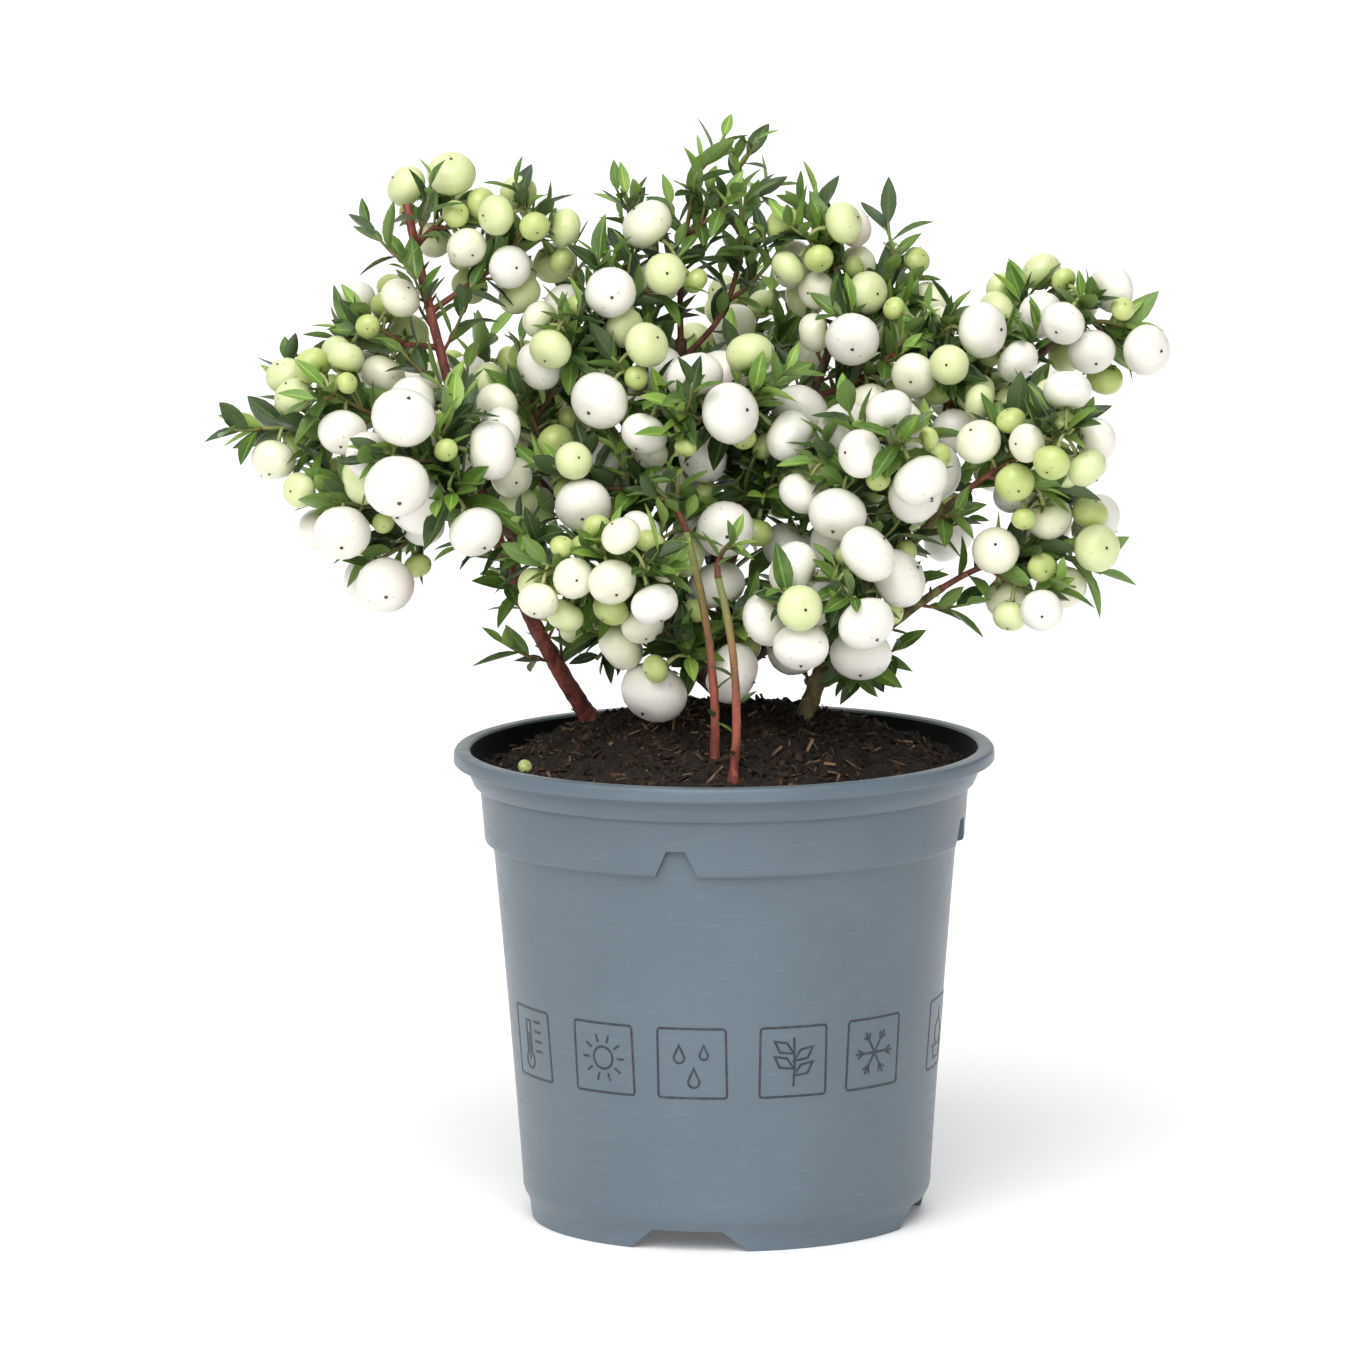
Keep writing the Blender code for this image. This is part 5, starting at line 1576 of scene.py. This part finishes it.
for number, (name, limb) in enumerate(limbs.items()):
    chance = random.Random(900 + number)
    if name in ("stem_front_left", "stem_front_right"):
        leaves_along(limb, STEM_LEAF, STEM_LEAF_SPACING, chance, FIRST_STEM_LEAF, STEM_YOUTH)
        continue
    first = FIRST_STEM_TWIG if name.startswith("stem") else FIRST_BOUGH_TWIG
    for twig in twigs_on(name, [limb], 800 + number, LIMB_TWIG_SPACING, LIMB_TWIG_LENGTH, first):
        add_skin(twig.points, twig.radii, LIMB_TWIG_GREEN)
        leaves_along(twig, LIMB_LEAF, LEAF_SPACING, chance)

new_piece("shoots_and_twigs", shoot_skin.mesh("shoots_and_twigs"), [
    bark_material("shoot_skin", (0.10, 0.03, 0.018), (0.22, 0.07, 0.04), (0.2, 0.27, 0.07))
], "foliage", *[spray.name for spray in SPRAYS])
for name in reversed(LEAF_LOOKS):
    dark, light, rough, _ = LEAF_LOOKS[name]
    new_piece(name, leaf_heaps[name].mesh(name), [leaf_material(name, dark, light, rough)], "foliage")


# The studio.
# A plain white sheet under and behind the pot, soft light all round, and a large soft light
# from the upper left in front, which leaves a faint shadow at the pot's foot on the right.
FLOOR_SIZE = 12.0
KEY_POWER = 2.3
SKY_POWER = 1.02
FLOOR_GLOW = 0.1
# Each darker side of the sky: its direction along X, where it starts and ends, and its light.
DARK_SIDES = ((1.0, 0.15, 0.75, 0.04), (-1.0, 0.3, 0.85, 0.2))
CAMERA_PLACE = (0.0, -2222.7, 465.2)
CAMERA_PITCH = math.radians(8.84)
CAMERA_YAW = math.radians(0.232)
CAMERA_ROLL = math.radians(-0.403)
FOCAL_PIXELS = 10150.0
FRAME_PIXELS = 1366.0
SENSOR = 36.0

floor_mesh = bpy.data.meshes.new("studio_floor")
half = FLOOR_SIZE / 2
floor_corners = [(-half, -half, 0), (half, -half, 0), (half, half, 0), (-half, half, 0)]
floor_mesh.from_pydata(floor_corners, [], [(0, 1, 2, 3)])
studio_floor = bpy.data.objects.new("studio_floor", floor_mesh)
bpy.context.scene.collection.objects.link(studio_floor)
floor_material, _, floor_shader = blank_material("studio_floor")
floor_shader.inputs["Base Color"].default_value = (0.95, 0.95, 0.95, 1.0)
floor_shader.inputs["Emission Color"].default_value = (1.0, 1.0, 1.0, 1.0)
floor_shader.inputs["Emission Strength"].default_value = FLOOR_GLOW
floor_shader.inputs["Roughness"].default_value = 0.9
floor_shader.inputs["Specular IOR Level"].default_value = 0.1
floor_mesh.materials.append(floor_material)

world = bpy.data.worlds.new("studio_world")
world.use_nodes = True
sky_nodes = Nodes(world.node_tree)
heading = sky_nodes.add("ShaderNodeTexCoord").outputs["Generated"]
sideways = sky_nodes.add("ShaderNodeSeparateXYZ", {0: heading}).outputs["X"]
power = SKY_POWER
for direction, start, end, darkest in DARK_SIDES:
    turned = sky_nodes.add("ShaderNodeMath", {0: sideways, 1: direction}, operation="MULTIPLY")
    shade = sky_nodes.add("ShaderNodeMapRange", {
        "Value": turned.outputs[0], "From Min": start, "From Max": end, "To Min": 1.0, "To Max": darkest,
    }, interpolation_type="SMOOTHSTEP")
    dimmed = sky_nodes.add("ShaderNodeMath", {0: shade.outputs["Result"], 1: power}, operation="MULTIPLY")
    power = dimmed.outputs[0]
world.node_tree.links.new(power, world.node_tree.nodes["Background"].inputs["Strength"])
world.node_tree.nodes["Background"].inputs["Color"].default_value = (1.0, 1.0, 1.0, 1.0)
bpy.context.scene.world = world

key_light = bpy.data.lights.new("key_light", "SUN")
key_light.energy = KEY_POWER
key_light.angle = math.radians(55.0)
key = bpy.data.objects.new("key_light", key_light)
key.rotation_euler = Vector((0.15, 0.8, -0.9)).to_track_quat("-Z", "Y").to_euler()
bpy.context.scene.collection.objects.link(key)

camera_data = bpy.data.cameras.new("studio_camera")
camera_data.sensor_fit = "HORIZONTAL"
camera_data.sensor_width = SENSOR
camera_data.lens = FOCAL_PIXELS / FRAME_PIXELS * SENSOR
camera_data.clip_end = 50.0
camera = bpy.data.objects.new("studio_camera", camera_data)
forward = Vector((0.0, math.cos(CAMERA_PITCH), -math.sin(CAMERA_PITCH)))
right = Vector((1.0, 0.0, 0.0))
up = right.cross(forward)
right, up = (
    right * math.cos(CAMERA_ROLL) + up * math.sin(CAMERA_ROLL),
    up * math.cos(CAMERA_ROLL) - right * math.sin(CAMERA_ROLL),
)
turn = Matrix.Rotation(CAMERA_YAW, 3, "Z") @ Matrix((right, up, -forward)).transposed()
camera.matrix_world = Matrix.Translation(POT_AXIS + Vector(CAMERA_PLACE) * MM) @ turn.to_4x4()
bpy.context.scene.collection.objects.link(camera)
bpy.context.scene.camera = camera
bpy.context.scene.view_settings.view_transform = "Standard"

bpy.context.view_layer.update()
